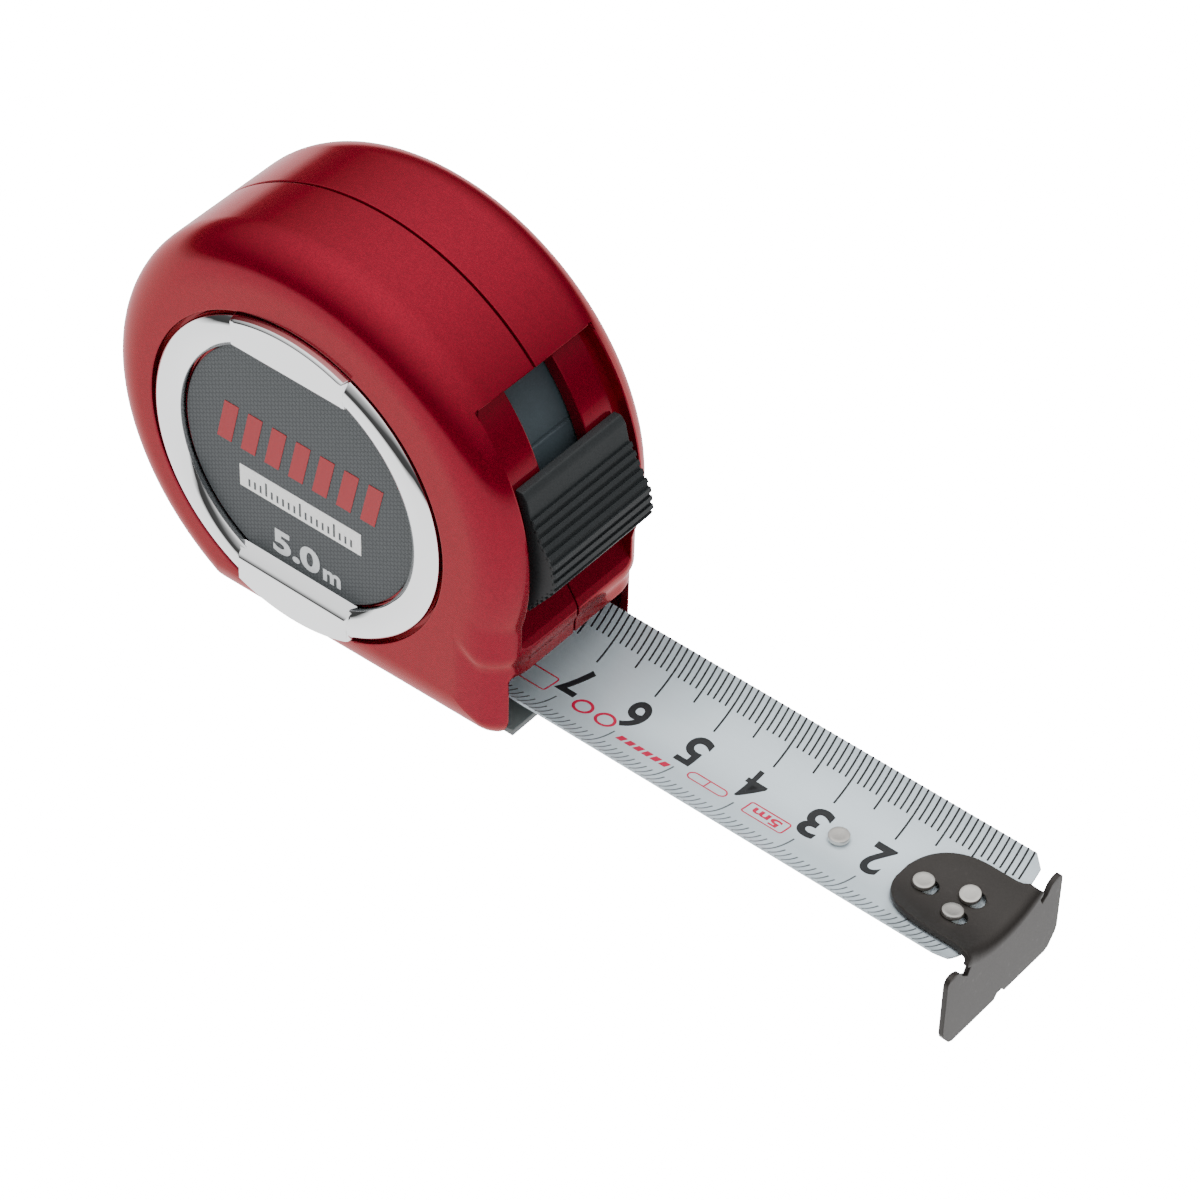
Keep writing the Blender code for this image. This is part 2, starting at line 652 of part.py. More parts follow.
def hook_plate():
    """The upright plate: ears beside the blade, cut lower corners and a small centring notch."""
    notch = (BLADE_CURVE_R - BLADE_T - CLEAR, TONGUE_HALF_W + 0.3)
    neck = []
    for step in range(9):
        y = TONGUE_HALF_W * (1 - step / 4)
        drop = notch[0] - HOOK_T / 2
        neck.append((y, CURVE_Z - math.sqrt(drop * drop - y * y)))
    half = [
        (notch[1], TROUGH_Z - 0.3), (PLATE_HALF_W - 3.0, PLATE_TOP - 1.2), (PLATE_HALF_W - 1.1, PLATE_TOP),
        (PLATE_HALF_W - 0.2, PLATE_TOP - 0.4), (PLATE_HALF_W, PLATE_TOP - 1.2),
        (PLATE_HALF_W, PLATE_BOTTOM + 3.2), (PLATE_HALF_W - 0.9, PLATE_BOTTOM + 1.0),
        (PLATE_HALF_W - 2.6, PLATE_BOTTOM),
    ]
    bottom = [(-1.0, PLATE_BOTTOM), (-0.4, PLATE_BOTTOM + 0.8), (0.8, PLATE_BOTTOM + 0.8), (1.2, PLATE_BOTTOM)]
    outline = neck + [(-y, z) for y, z in half] + bottom + half[::-1]
    return front_plate("hook_plate_cutter", outline, ZERO_X, HOOK_FACE_X)


def end_hook():
    """Steel hook: a rounded tongue lying in the blade's hollow, slotted for the rivets, and the plate."""
    low_r = BLADE_CURVE_R - BLADE_T - CLEAR
    tip_x = ZERO_X - TONGUE_L
    length = ZERO_X + HOOK_T / 2 - tip_x
    roundness = 2.2

    def place(u, v):
        from_tip = max(0.003, u ** 1.6)
        x = tip_x + length * from_tip
        rounded = 1 - max(0.0, 1 - (x - tip_x) / 11.0) ** roundness
        y = v * TONGUE_HALF_W * rounded ** (1 / roundness)
        return x, y, CURVE_Z - math.sqrt(low_r * low_r - y * y)

    hook = sheet("end_hook", 16, 8, place, HOOK_T, "black_steel", 1.0)
    boolean(hook, hook_plate(), "UNION")
    for name, x, lean in rivet_places()[:3]:
        radius = RIVET_SHANK_R + CLEAR
        slot = outline_mesh(
            f"slot_{name}", [arc((PLAY, 0), radius, -90, 90, 8) + arc((0, 0), radius, 90, 270, 8)], 4.0
        )
        slot.transform(Matrix.Translation((0, 0, -low_r * MM)))
        boolean(hook, add_object(f"slot_{name}", slot, None, (x, 0, CURVE_Z), (lean, 0, 0)))
    return hook


# ---------------------------------------------------------------- lock

def lock_button():
    """Wedge-shaped thumb slide on the rails, with a neck through the slot."""
    rest = arc((CASE_X, CASE_Z), RAIL_R + CLEAR, BUTTON_TOP, BUTTON_BOTTOM, 8)
    top_x, top_z = rest[0]
    low_x, low_z = rest[-1]
    outline = rest + [
        (low_x + 0.7, low_z + 0.9), (BUTTON_TIP_X - 0.6, low_z + 6.4), (BUTTON_TIP_X, low_z + 7.6),
        (BUTTON_TIP_X - 0.7, low_z + 11.2), (BUTTON_TIP_X - 2.7, low_z + 14.2),
        (top_x + 3.0, top_z - 4.2), (top_x + 1.6, top_z - 0.4),
    ]
    button = side_plate("lock_button", [outline], -BUTTON_HALF_W, BUTTON_HALF_W, "lock_black", CENTRE)
    neck = sector(BACKING_R - CLEAR / 3, RAIL_R + 1.0, BUTTON_BOTTOM + 3, BUTTON_TOP - 3, 8)
    half_w = SLOT_HALF_W - CLEAR
    boolean(button, side_plate("neck_cutter", [neck], -half_w, half_w), "UNION")
    return button


def lock_arm():
    """Tongue behind the slot that carries the brake pad."""
    outline = sector(ARM_R - ARM_T, ARM_R, ARM_BOTTOM, ARM_TOP, 16)
    return side_plate("lock_arm", [outline], -ARM_HALF_W, ARM_HALF_W, "slate_plastic", CENTRE)


def brake_pad():
    """Pad at the arm's lower end that bears on the wound blade."""
    outer = ARM_R - ARM_T - CLEAR
    inner = COIL_R + 2 * CLEAR - CASE_X
    low, high = (ARM_BOTTOM + lift for lift in PAD_SPAN)
    outline = sector(inner, outer, low, high, 5)
    return side_plate("brake_pad", [outline], -ARM_HALF_W, ARM_HALF_W, "brake_rubber", CENTRE)


def lock_spring():
    """Bowed leaf under the arm that holds the slide against its rails."""
    outer = ARM_R - ARM_T - CLEAR
    low, high = LEAF_SPAN
    steps = 12
    back, front = [], []
    for step in range(steps + 1):
        share = step / steps
        bow = LEAF_BOW * math.sin(math.pi * share)
        angle = low + (high - low) * share
        front.append(on_case(outer - bow, angle))
        back.append(on_case(outer - bow - LEAF_T, angle))
    half_w = ARM_HALF_W - 2.0
    return side_plate("lock_spring", [front + back[::-1]], -half_w, half_w, "spring_steel", CENTRE)


# ---------------------------------------------------------------- clip and fasteners

def belt_clip():
    """Bent steel strip on the plain side: pad, turn at the top, spring arm and flared end."""
    near = CLIP_FACE_Y
    bend = (CLIP_GAP + CLIP_T) / 2
    centre_y = near + CLIP_T / 2 + bend
    arm_y = centre_y + bend
    bend_z = CASE_Z + CASE_R - CLIP_TOP_ROOM
    path = [(near + CLIP_T / 2, AXIS_Z - CLIP_PAD)]
    path += arc((centre_y, bend_z), bend, 180, 0, 8)
    path += [(arm_y, CLIP_END_Z + 5.0), (arm_y + CLIP_FLARE / 4, CLIP_END_Z + 2.2)]
    path.append((arm_y + CLIP_FLARE, CLIP_END_Z))
    steps = len(path) - 1

    def place(u, v):
        y, z = path[round(u * steps)]
        return v * CLIP_W / 2, y, z

    clip = sheet("belt_clip", steps, 1, place, CLIP_T, "clip_steel", 0.0)
    bore = rod(CLIP_SCREW_R + CLEAR, CASE_HALF_W - 1, near + CLIP_T + 1)
    boolean(clip, turned("clip_hole_cutter", bore, at=AXIS, steps=20))
    return clip


def screw(name, x, z, radius, head_radius, head_t, seat_y, end_y):
    """Pan-head screw driven from the +Y side, with a cross recess."""
    profile = [
        (0, seat_y + head_t), (head_radius * 0.7, seat_y + head_t), (head_radius, seat_y + head_t * 0.4),
        (head_radius, seat_y), (radius, seat_y), (radius, end_y), (0, end_y),
    ]
    made = turned(name, profile, "zinc_screw", at=(x, 0, z), steps=20)
    long, thin = head_radius * 0.55, head_radius * 0.14
    low_y, high_y = seat_y + head_t * 0.4, seat_y + head_t + 1
    for way, (half_x, half_z) in (("a", (long, thin)), ("b", (thin, long))):
        low = (x - half_x, low_y, z - half_z)
        boolean(made, block(f"{name}_cross_{way}", low, (x + half_x, high_y, z + half_z)))
    return made


def fasteners():
    for number, (x, z) in enumerate(boss_places(), 1):
        screw(
            f"case_screw_{number}", x, z, CASE_SCREW_R, CASE_SCREW_HEAD_R, CASE_SCREW_HEAD_T,
            COUNTERBORE_Y + CLEAR, -CASE_SCREW_BITE,
        )
    seat = CLIP_FACE_Y + CLIP_T + CLEAR
    end = CAVITY_HALF_W - CLEAR - CLIP_SCREW_BITE
    screw("clip_screw", 0, AXIS_Z, CLIP_SCREW_R, CLIP_SCREW_HEAD_R, CLIP_SCREW_HEAD_T, seat, end)


def build():
    cutters = [cavity_cutter(), recess_cutter(), slot_cutter(), mouth_cutter()]
    case_left(cutters)
    case_right(cutters)
    mouth_bumper()
    bezel_ring()
    label_disc()
    blade_coil()
    reel_drum()
    drum_cover()
    power_spring()
    centre_post()
    side_liner("liner_left", -1)
    side_liner("liner_right", 1)
    blade()
    end_hook()
    for name, x, lean in rivet_places():
        rivet(name, x, lean)
    lock_button()
    lock_arm()
    brake_pad()
    lock_spring()
    belt_clip()
    fasteners()


clear_scene()
PARTS = make_collection("tape_measure")
CUTTERS = make_collection("tape_measure_cutters", hidden=True)
MATERIALS = {name: make_finish(name) for name in FINISHES}
ROOT = bpy.data.objects.new("tape_root", None)
ROOT.location = WORLD_SHIFT * MM
PARTS.objects.link(ROOT)
build()
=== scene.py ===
"""Pocket tape measure: the finished look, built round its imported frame.

Shapes are worked out in millimetres in the tape's own axes: X towards the hook, with the reel's axis at
X = 0, Y across the blade, with the badge on the -Y side, and Z up from the case's base. show() moves a
finished mesh to its place in the frame, in metres.
"""

import math

import bmesh
import bpy
from mathutils import Matrix, Vector


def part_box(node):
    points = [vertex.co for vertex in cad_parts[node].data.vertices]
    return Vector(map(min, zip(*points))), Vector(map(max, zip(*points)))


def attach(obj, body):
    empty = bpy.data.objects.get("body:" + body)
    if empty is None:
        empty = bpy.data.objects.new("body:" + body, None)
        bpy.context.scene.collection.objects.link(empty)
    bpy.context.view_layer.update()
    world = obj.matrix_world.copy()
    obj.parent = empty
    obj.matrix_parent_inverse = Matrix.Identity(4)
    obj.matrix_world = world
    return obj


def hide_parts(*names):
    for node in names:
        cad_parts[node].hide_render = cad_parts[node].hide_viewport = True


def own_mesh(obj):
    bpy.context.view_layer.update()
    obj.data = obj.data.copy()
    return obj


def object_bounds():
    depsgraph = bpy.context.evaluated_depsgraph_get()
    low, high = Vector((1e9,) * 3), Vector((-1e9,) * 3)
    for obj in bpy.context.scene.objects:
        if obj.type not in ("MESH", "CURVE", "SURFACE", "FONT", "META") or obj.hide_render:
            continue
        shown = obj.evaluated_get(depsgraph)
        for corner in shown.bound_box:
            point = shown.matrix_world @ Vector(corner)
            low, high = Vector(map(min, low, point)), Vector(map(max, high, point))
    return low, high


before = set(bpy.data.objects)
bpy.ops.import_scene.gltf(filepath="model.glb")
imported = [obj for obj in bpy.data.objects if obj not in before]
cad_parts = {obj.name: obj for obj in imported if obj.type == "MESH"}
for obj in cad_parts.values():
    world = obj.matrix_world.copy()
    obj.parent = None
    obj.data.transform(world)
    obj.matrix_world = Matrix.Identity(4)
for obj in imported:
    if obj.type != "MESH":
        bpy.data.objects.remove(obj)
CAD_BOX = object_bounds()

bl_info = {
    "name": "Pocket tape measure",
    "version": (1, 0, 0),
    "blender": (4, 5, 0),
    "location": "3D View > Sidebar > Tape measure",
    "description": "Builds the finished look of a pocket tape measure round its packed frame",
    "category": "Object",
}

MM = 0.001
CLEAR = 0.3  # gap left between neighbouring pieces


def middle(node, axis):
    low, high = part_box(node)
    return (low[axis] + high[axis]) / 2


# The reel's axis, the parting plane and the case's base, from the frame
ORIGIN = Vector((
    middle("reel_drum", 0),
    (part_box("case_left")[0][1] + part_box("case_right")[1][1]) / 2,
    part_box("case_right")[0][2],
))


def in_mm(value, axis):
    return (value - ORIGIN[axis]) / MM


def reach(node, end, axis):
    """How far a node goes along an axis, in the tape's own millimetres."""
    return in_mm(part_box(node)[end][axis], axis)


# Blade
BLADE_W, BLADE_T = 25.0, 0.3
CURVE_R = 16.5  # outer radius of the hollow section
BLADE_END = reach("blade", 1, 0)
HOOK_T = 0.8
ZERO_X = reach("end_hook", 1, 0) - HOOK_T  # inner face of the hook's plate
BLADE_RISE = 0.7  # how far the blade climbs from the mouth to the reel
FLAT_X = 4.0  # behind this the blade lies flat
MARK_EDGE = 0.15  # from the blade's edge to the marks
PRINT_LOW, PRINT_HIGH = -0.02, 0.035  # below and above the enamel
TROUGH_Z = reach("stop_rivet", 0, 2) + 0.55
CURVE_Z = TROUGH_Z + CURVE_R

# Case
AXIS_Z = in_mm(middle("reel_drum", 2), 2)
CASE_R, CASE_X = 35.6, 1.2
CASE_Z = reach("case_right", 1, 2) - CASE_R
FRONT_CUT = 1.2
FRONT_X = CASE_X + CASE_R - FRONT_CUT
HALF_W = reach("case_right", 1, 1)
WALL = 1.8
SIDE_WALL, SEAT_DEPTH = 0.9, 1.7
CAVITY_HALF_W = HALF_W - SIDE_WALL - SEAT_DEPTH
SEAT_Y = -CAVITY_HALF_W - SIDE_WALL
FOOT_R = 5.0
FRONT_LEAD = 8.0  # the hollow is full from here on, behind the case's front
FOLD_Z, FOLD_DEPTH = 15.6, 0.55  # the legs stand back under the cheeks

# Badge
RING_R = in_mm(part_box("bezel_ring")[1][0], 0)
BADGE_R = in_mm(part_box("label_disc")[1][0], 0)
LUG_CHORD = BADGE_R - 2.0
LUG_FACE_Y = reach("bezel_ring", 0, 1)

# Mouth and lock
MOUTH_HALF_W = 12.34
MOUTH_TOP = 12.8
RECESS_HALF_W = HALF_W - 4.7
RAIL_R, BACKING_R = CASE_R - 2.0, CASE_R - 4.0
RECESS_TOP, RECESS_BOTTOM = 42.4, -17.1
SLOT_HALF_W = 4.6
BUTTON_HALF_W = reach("lock_button", 1, 1)
BOSS_HOLE, WELL_R, WELL_DEPTH = 1.2, 2.4, 2.9
CLIP_HOLE = 1.7

# Hook
HOOK_FACE = ZERO_X + HOOK_T
TONGUE_L, TONGUE_HALF_W = 15.9, 6.9
PLATE_TOP = TROUGH_Z + 2.6
PLATE_BOTTOM = TROUGH_Z - 10.7
PLATE_HALF = BLADE_W / 2
RIVET_SLOT_R, RIVET_PLAY = 1.3, 0.9
RIVETS = ((12.3, 0.0), (6.3, 2.15), (6.3, -2.15))  # back from the zero, and to the side
STOP_RIVET = 25.9

# Stage
AIM = (46.7, -9.7, 33.2)  # the point that the camera looks at
FLOOR_HALF, FLOOR_DROP, FLOOR_GLOW = 3.0, 0.0005, 16.0


# ---------------------------------------------------------------- settings

def colour_setting(name, description, default):
    return bpy.props.FloatVectorProperty(
        name=name, description=description, subtype="COLOR", size=3, min=0.0, max=1.0, default=default,
    )


def length_setting(name, description, default, low, high):
    """A length whose default and limits are given in millimetres."""
    return bpy.props.FloatProperty(
        name=name, description=description, default=default * MM, min=low * MM, max=high * MM,
        unit="LENGTH", subtype="DISTANCE",
    )


def angle_setting(name, description, degrees):
    return bpy.props.FloatProperty(
        name=name, description=description, subtype="ANGLE", default=math.radians(degrees),
    )


class TapeCaseSettings(bpy.types.PropertyGroup):
    shell_colour: colour_setting("Shell colour", "Pearl lacquer of both shells", (0.21, 0.0002, 0.013))
    # The recess's red is darker than the shell's: painted shade in the lock's recess.
    inner_colour: colour_setting(
        "Recess colour", "Lacquer inside the lock's recess", (0.17, 0.002, 0.018),
    )
    edge_round: length_setting("Edge rounding", "Radius of the side edges", 6.5, 3.0, 9.0)
    rim_round: length_setting("Rim rounding", "Softening of the cut rims", 0.3, 0.05, 0.6)


class TapeBladeSettings(bpy.types.PropertyGroup):
    enamel_colour: colour_setting("Enamel colour", "Ground colour of the blade", (0.47, 0.54, 0.58))
    red_print_colour: colour_setting("Red print colour", "Ink of the small marks", (0.36, 0.004, 0.035))
    digit_height: length_setting("Digit height", "Height of the centimetre digits", 5.7, 3.0, 8.0)
    last_mark: bpy.props.IntProperty(
        name="Last mark", description="Last millimetre mark drawn, inside the mouth",
        default=77, min=20, max=78,
    )


class TapeFittingSettings(bpy.types.PropertyGroup):
    button_colour: colour_setting("Button colour", "Moulded lock button", (0.012, 0.014, 0.015))
    hook_colour: colour_setting("Hook colour", "Blackened steel of the end hook", (0.026, 0.023, 0.021))
    rib_count: bpy.props.IntProperty(
        name="Rib count", description="Ribs across the lock button", default=14, min=6, max=20,
    )


class TapeStageSettings(bpy.types.PropertyGroup):
    azimuth: angle_setting("Azimuth", "Turn of the camera from the -Y side", 38.023)
    elevation: angle_setting("Elevation", "Height of the camera as an angle", 44.074)
    roll: angle_setting("Roll", "Roll of the camera about its own axis", 1.876)
    distance: bpy.props.FloatProperty(
        name="Distance", description="From the camera to the point it looks at", default=0.644,
        min=0.1, unit="LENGTH", subtype="DISTANCE",
    )
    lens: bpy.props.FloatProperty(
        name="Lens", description="Focal length in millimetres", default=151.64, min=20.0,
    )
    floor_colour: colour_setting("Floor colour", "Plain pale floor", (0.90, 0.90, 0.90))


# ---------------------------------------------------------------- finishes

class Value:
    """One socket of a finish, used in ordinary arithmetic."""

    def __init__(self, finish, socket):
        self.finish = finish
        self.socket = socket

    def math(self, operation, *others):
        return self.finish.add("ShaderNodeMath", {"operation": operation}, dict(enumerate((self, *others))))

    def __add__(self, other):
        return self.math("ADD", other)

    __radd__ = __add__

    def __sub__(self, other):
        return self.math("SUBTRACT", other)

    def __rsub__(self, other):
        return self.finish.add("ShaderNodeMath", {"operation": "SUBTRACT"}, {0: other, 1: self})

    def __mul__(self, other):
        return self.math("MULTIPLY", other)

    __rmul__ = __mul__

    def cosine(self):
        return self.math("COSINE")

    def between(self, low, high):
        """0 below low, 1 above high, and smooth in between."""
        return self.finish.add(
            "ShaderNodeMapRange", {"interpolation_type": "SMOOTHSTEP"},
            {"Value": self, "From Min": low, "From Max": high},
        )


class Finish:
    """A procedural material whose patterns are laid out in the tape's own millimetres."""

    def __init__(self, name, colour, metallic=0.0, roughness=0.4, **fixed):
        self.material = bpy.data.materials.new(name)
        self.material.use_nodes = True
        self.tree = self.material.node_tree
        self.shader = self.tree.nodes["Principled BSDF"]
        self.colour = (*colour, 1.0)
        self.put("Base Color", self.colour)
        self.put("Metallic", metallic)
        self.put("Roughness", roughness)
        for socket, value in fixed.items():
            self.put(socket.replace("_", " "), value)
        spot = self.add("ShaderNodeTexCoord", out="Object")
        self.place = self.add("ShaderNodeMapping", {"vector_type": "POINT"}, {
            "Vector": spot, "Location": -ORIGIN / MM, "Scale": (1 / MM,) * 3,
        })

    def add(self, kind, settings=None, values=None, out=0):
        """Adds a node: its settings first, then the numbers or links of its sockets."""
        node = self.tree.nodes.new(kind)
        for name, setting in (settings or {}).items():
            setattr(node, name, setting)
        for socket, value in (values or {}).items():
            if isinstance(value, Value):
                self.tree.links.new(value.socket, node.inputs[socket])
            else:
                node.inputs[socket].default_value = value
        return Value(self, node.outputs[out])

    def put(self, socket, value):
        if isinstance(value, Value):
            self.tree.links.new(value.socket, self.shader.inputs[socket])
        else:
            self.shader.inputs[socket].default_value = value

    def noise(self, scale, detail=3.0, stretch=None):
        """Noise between 0 and 1, with scale in turns per millimetre."""
        where = self.place
        if stretch:
            where = self.add("ShaderNodeMapping", None, {"Vector": where, "Scale": stretch})
        values = {"Vector": where, "Scale": scale, "Detail": detail}
        return self.add("ShaderNodeTexNoise", None, values)

    def flakes(self, scale):
        """One random number for each flake."""
        values = {"Vector": self.place, "Scale": scale}
        cells = self.add("ShaderNodeTexVoronoi", None, values, out="Color")
        return self.add("ShaderNodeSeparateColor", None, {"Color": cells})

    def axes(self):
        parts = self.add("ShaderNodeSeparateXYZ", None, {"Vector": self.place})
        node = parts.socket.node
        return [Value(self, node.outputs[index]) for index in range(3)]

    def mix(self, factor, first, second):
        return self.add("ShaderNodeMix", {"data_type": "RGBA"}, {0: factor, 6: first, 7: second}, out=2)

    def shade(self, factor, dark, light):
        """Base colour between a darker and a lighter tint of the finish's own colour."""
        ends = []
        for amount in (dark, light):
            ends.append((*(min(part * amount, 1.0) for part in self.colour[:3]), 1.0))
        return self.mix(factor, *ends)

    def bump(self, height, strength, distance):
        """Raises the surface by height times distance in millimetres."""
        self.put("Normal", self.add(
            "ShaderNodeBump", None, {"Height": height, "Strength": strength, "Distance": distance * MM},
        ))


def lacquer(name, colour, roughness, coat):
    """Pearl lacquer: fine flakes under a clear coat with a trace of orange peel."""
    finish = Finish(
        name, colour, 0.70, roughness, Coat_Weight=coat, Coat_Roughness=0.05, Specular_IOR_Level=0.25,
        Specular_Tint=(1.0, 0.30, 0.32, 1.0),
    )
    flake = finish.flakes(7.0)
    cloud = finish.noise(0.9, 2.0)
    finish.put("Base Color", finish.shade(flake * 0.6 + cloud * 0.4, 0.72, 1.30))
    finish.put("Roughness", roughness - 0.05 + flake * 0.10)
    finish.bump(finish.noise(1.6, 1.0), 0.10, 0.05)
    return finish.material


def bright_plate(name, colour, roughness):
    """Bright plating with faint haze and hairlines."""
    finish = Finish(name, colour, 1.0, roughness)
    haze = finish.noise(0.35, 4.0)
    hair = finish.noise(1.5, 2.0, (1.0, 1.0, 9.0))
    finish.put("Roughness", roughness * 0.7 + haze * roughness * 0.5 + hair.between(0.62, 0.75) * 0.05)
    finish.bump(haze, 0.04, 0.08)
    return finish.material


def worn_steel(name, colour, metallic, roughness, grain, light=1.5):
    """Rolled or blackened steel: fine grain, cloudy tone and rubbed spots."""
    finish = Finish(name, colour, metallic, roughness)
    fine = finish.noise(grain, 5.0)
    cloud = finish.noise(0.25, 3.0)
    rub = finish.noise(1.1, 6.0).between(0.60, 0.72)
    finish.put("Base Color", finish.shade(fine * 0.5 + cloud * 0.35 + rub * 0.25, 0.75, light))
    finish.put("Roughness", roughness - 0.06 + fine * 0.12 - rub * 0.06)
    finish.bump(fine, 0.25, 0.03)
    return finish.material


def moulded(name, colour, roughness, texture=0.3):
    """Moulded plastic with a fine spark-eroded grain."""
    finish = Finish(name, colour, 0.0, roughness, Specular_IOR_Level=0.28)
    grain = finish.noise(4.5, 4.0)
    cloud = finish.noise(0.3, 2.0)
    finish.put("Base Color", finish.shade(grain * 0.4 + cloud * 0.6, 0.80, 1.25))
    finish.put("Roughness", roughness - 0.05 + grain * 0.12)
    finish.bump(grain, texture, 0.06)
    return finish.material


def woven_foil(name, ground, raised):
    """Dark printed foil with a fine honeycomb weave."""
    finish = Finish(name, raised, 0.1, 0.45, Specular_IOR_Level=0.3)
    across, _, up = finish.axes()
    pitch = 0.62
    turn = math.tau / pitch
    half, slant = turn / 2, turn * math.sqrt(3) / 2
    comb = (
        (across * turn).cosine()
        + (across * half + up * slant).cosine()
        + (across * half - up * slant).cosine()
    )
    thread = comb.between(-1.3, 0.4)
    finish.put("Base Color", finish.mix(thread, (*ground, 1.0), (*raised, 1.0)))
    finish.put("Roughness", 0.50 - thread * 0.12)
    finish.bump(thread, 0.35, 0.05)
    return finish.material


def ink(name, colour, roughness=0.35, metallic=0.0):
    """Printed ink with a slightly uneven layer."""
    finish = Finish(name, colour, metallic, roughness, Specular_IOR_Level=0.25)
    layer = finish.noise(3.0, 4.0)
    finish.put("Base Color", finish.shade(layer, 0.85, 1.15))
    finish.put("Roughness", roughness - 0.05 + layer * 0.1)
    finish.bump(layer, 0.1, 0.01)
    return finish.material


def enamel(name, colour):
    """Baked blade enamel under clear film, with faint lengthwise drawing lines."""
    finish = Finish(name, colour, 0.30, 0.38, Coat_Weight=0.35, Coat_Roughness=0.15)
    drawn = finish.noise(0.8, 4.0, (0.06, 6.0, 1.0))
    cloud = finish.noise(0.12, 2.0)
    finish.put("Base Color", finish.shade(drawn * 0.5 + cloud * 0.5, 0.93, 1.07))
    finish.put("Roughness", 0.28 + drawn * 0.10)
    finish.bump(drawn, 0.06, 0.02)
    return finish.material


FINISHES = {}


def make_finishes(case, blade, fitting):
    FINISHES.update({
        "shell": lacquer("pearl_red", case.shell_colour, 0.25, 0.30),
        # Rougher lacquer for the lock's recess; its darker red is painted shade.
        "recess": lacquer("recess_red_painted_shade", case.inner_colour, 0.42, 0.35),
        "chrome": bright_plate("chrome_plate", (0.93, 0.94, 0.95), 0.045),
        "foil": woven_foil("badge_foil", (0.036, 0.041, 0.044), (0.052, 0.058, 0.062)),
        "white_ink": ink("white_ink", (0.80, 0.80, 0.79)),
        "red_ink": ink("badge_red_ink", (0.30, 0.010, 0.016)),
        "silver_ink": ink("silver_ink", (0.55, 0.57, 0.58), 0.30, 0.5),
        "grey_ink": ink("grey_ink", (0.06, 0.065, 0.07)),
        "button": moulded("button_black", fitting.button_colour, 0.50),
        "slate": moulded("slate_plastic", (0.030, 0.040, 0.046), 0.42, 0.15),
        "guide": moulded("guide_grey", (0.115, 0.125, 0.122), 0.48),
        "enamel": enamel("blade_enamel", blade.enamel_colour),
        "edge": worn_steel("blade_edge", (0.60, 0.62, 0.63), 1.0, 0.30, 5.0, 1.2),
        "black_ink": ink("black_ink", (0.012, 0.013, 0.014)),
        "soft_ink": ink("near_scale_ink", (0.055, 0.062, 0.068)),
        "print_red": ink("blade_red_ink", blade.red_print_colour),
        "hook": worn_steel("hook_black", fitting.hook_colour, 0.55, 0.40, 6.0),
        "nickel": worn_steel("rivet_nickel", (0.72, 0.70, 0.66), 1.0, 0.32, 3.0, 1.1),
        "clip": bright_plate("clip_steel", (0.66, 0.67, 0.69), 0.20),
        "zinc": worn_steel("zinc_screw", (0.50, 0.50, 0.51), 1.0, 0.34, 4.0, 1.2),
        "spring": worn_steel("spring_steel", (0.30, 0.32, 0.36), 1.0, 0.32, 2.0, 1.3),
        "reel": moulded("reel_plastic", (0.06, 0.06, 0.065), 0.50),
        "film": moulded("liner_film", (0.62, 0.62, 0.58), 0.35, 0.1),
        "rubber": moulded("brake_rubber", (0.02, 0.02, 0.02), 0.80, 0.6),
    })


# ---------------------------------------------------------------- mesh helpers

def to_mesh(bm, merge=1e-4):
    bmesh.ops.remove_doubles(bm, verts=bm.verts, dist=merge)
    bmesh.ops.recalc_face_normals(bm, faces=bm.faces)
    mesh = bpy.data.meshes.new("work")
    bm.to_mesh(mesh)
    bm.free()
    return mesh


def from_mesh(mesh):
    bm = bmesh.new()
    bm.from_mesh(mesh)
    bpy.data.meshes.remove(mesh)
    return bm


def carry(data, name="work"):
    carrier = bpy.data.objects.new(name, data)
    bpy.context.scene.collection.objects.link(carrier)
    return carrier


def bake(carrier):
    """The mesh that a carrier's curve or modifiers make. The carrier is removed."""
    graph = bpy.context.evaluated_depsgraph_get()
    mesh = bpy.data.meshes.new_from_object(carrier.evaluated_get(graph), depsgraph=graph)
    bpy.data.objects.remove(carrier)
    return mesh


def combine(base, steps):
    """Cuts or joins closed meshes one after the other."""
    carrier = carry(base)
    tools = []
    for tool, operation in steps:
        tools.append(carry(tool, "tool"))
        modifier = carrier.modifiers.new(operation.lower(), "BOOLEAN")
        modifier.operation = operation
        modifier.solver = "EXACT"
        modifier.object = tools[-1]
    mesh = bake(carrier)
    for tool in tools:
        bpy.data.objects.remove(tool)
    return mesh


def soften(mesh, width, wanted=None, angle=28):
    """Rounds the sharp outward edges, or those whose middle is wanted."""
    bm = from_mesh(mesh)
    bmesh.ops.remove_doubles(bm, verts=bm.verts, dist=0.003)
    bmesh.ops.dissolve_degenerate(bm, edges=bm.edges, dist=0.003)
    bmesh.ops.recalc_face_normals(bm, faces=bm.faces)
    chosen = []
    for edge in bm.edges:
        if not edge.is_manifold or not edge.is_convex:
            continue
        if edge.calc_face_angle(0.0) < math.radians(angle):
            continue
        spot = (edge.verts[0].co + edge.verts[1].co) / 2
        if wanted is None or wanted(spot):
            chosen.append(edge)
    bmesh.ops.bevel(
        bm, geom=chosen, offset=width, offset_type="OFFSET", segments=2, profile=0.5,
        affect="EDGES", clamp_overlap=False,
    )
    return to_mesh(bm, 0.002)


def arc(centre, radius, start, end, steps):
    points = []
    for step in range(steps + 1):
        angle = math.radians(start + (end - start) * step / steps)
        points.append((centre[0] + radius * math.cos(angle), centre[1] + radius * math.sin(angle)))
    return points


def on_case(radius, degrees):
    angle = math.radians(degrees)
    return CASE_X + radius * math.cos(angle), CASE_Z + radius * math.sin(angle)


def sector(inner, outer, low, high, steps):
    centre = (CASE_X, CASE_Z)
    return arc(centre, outer, low, high, steps) + arc(centre, inner, high, low, steps)


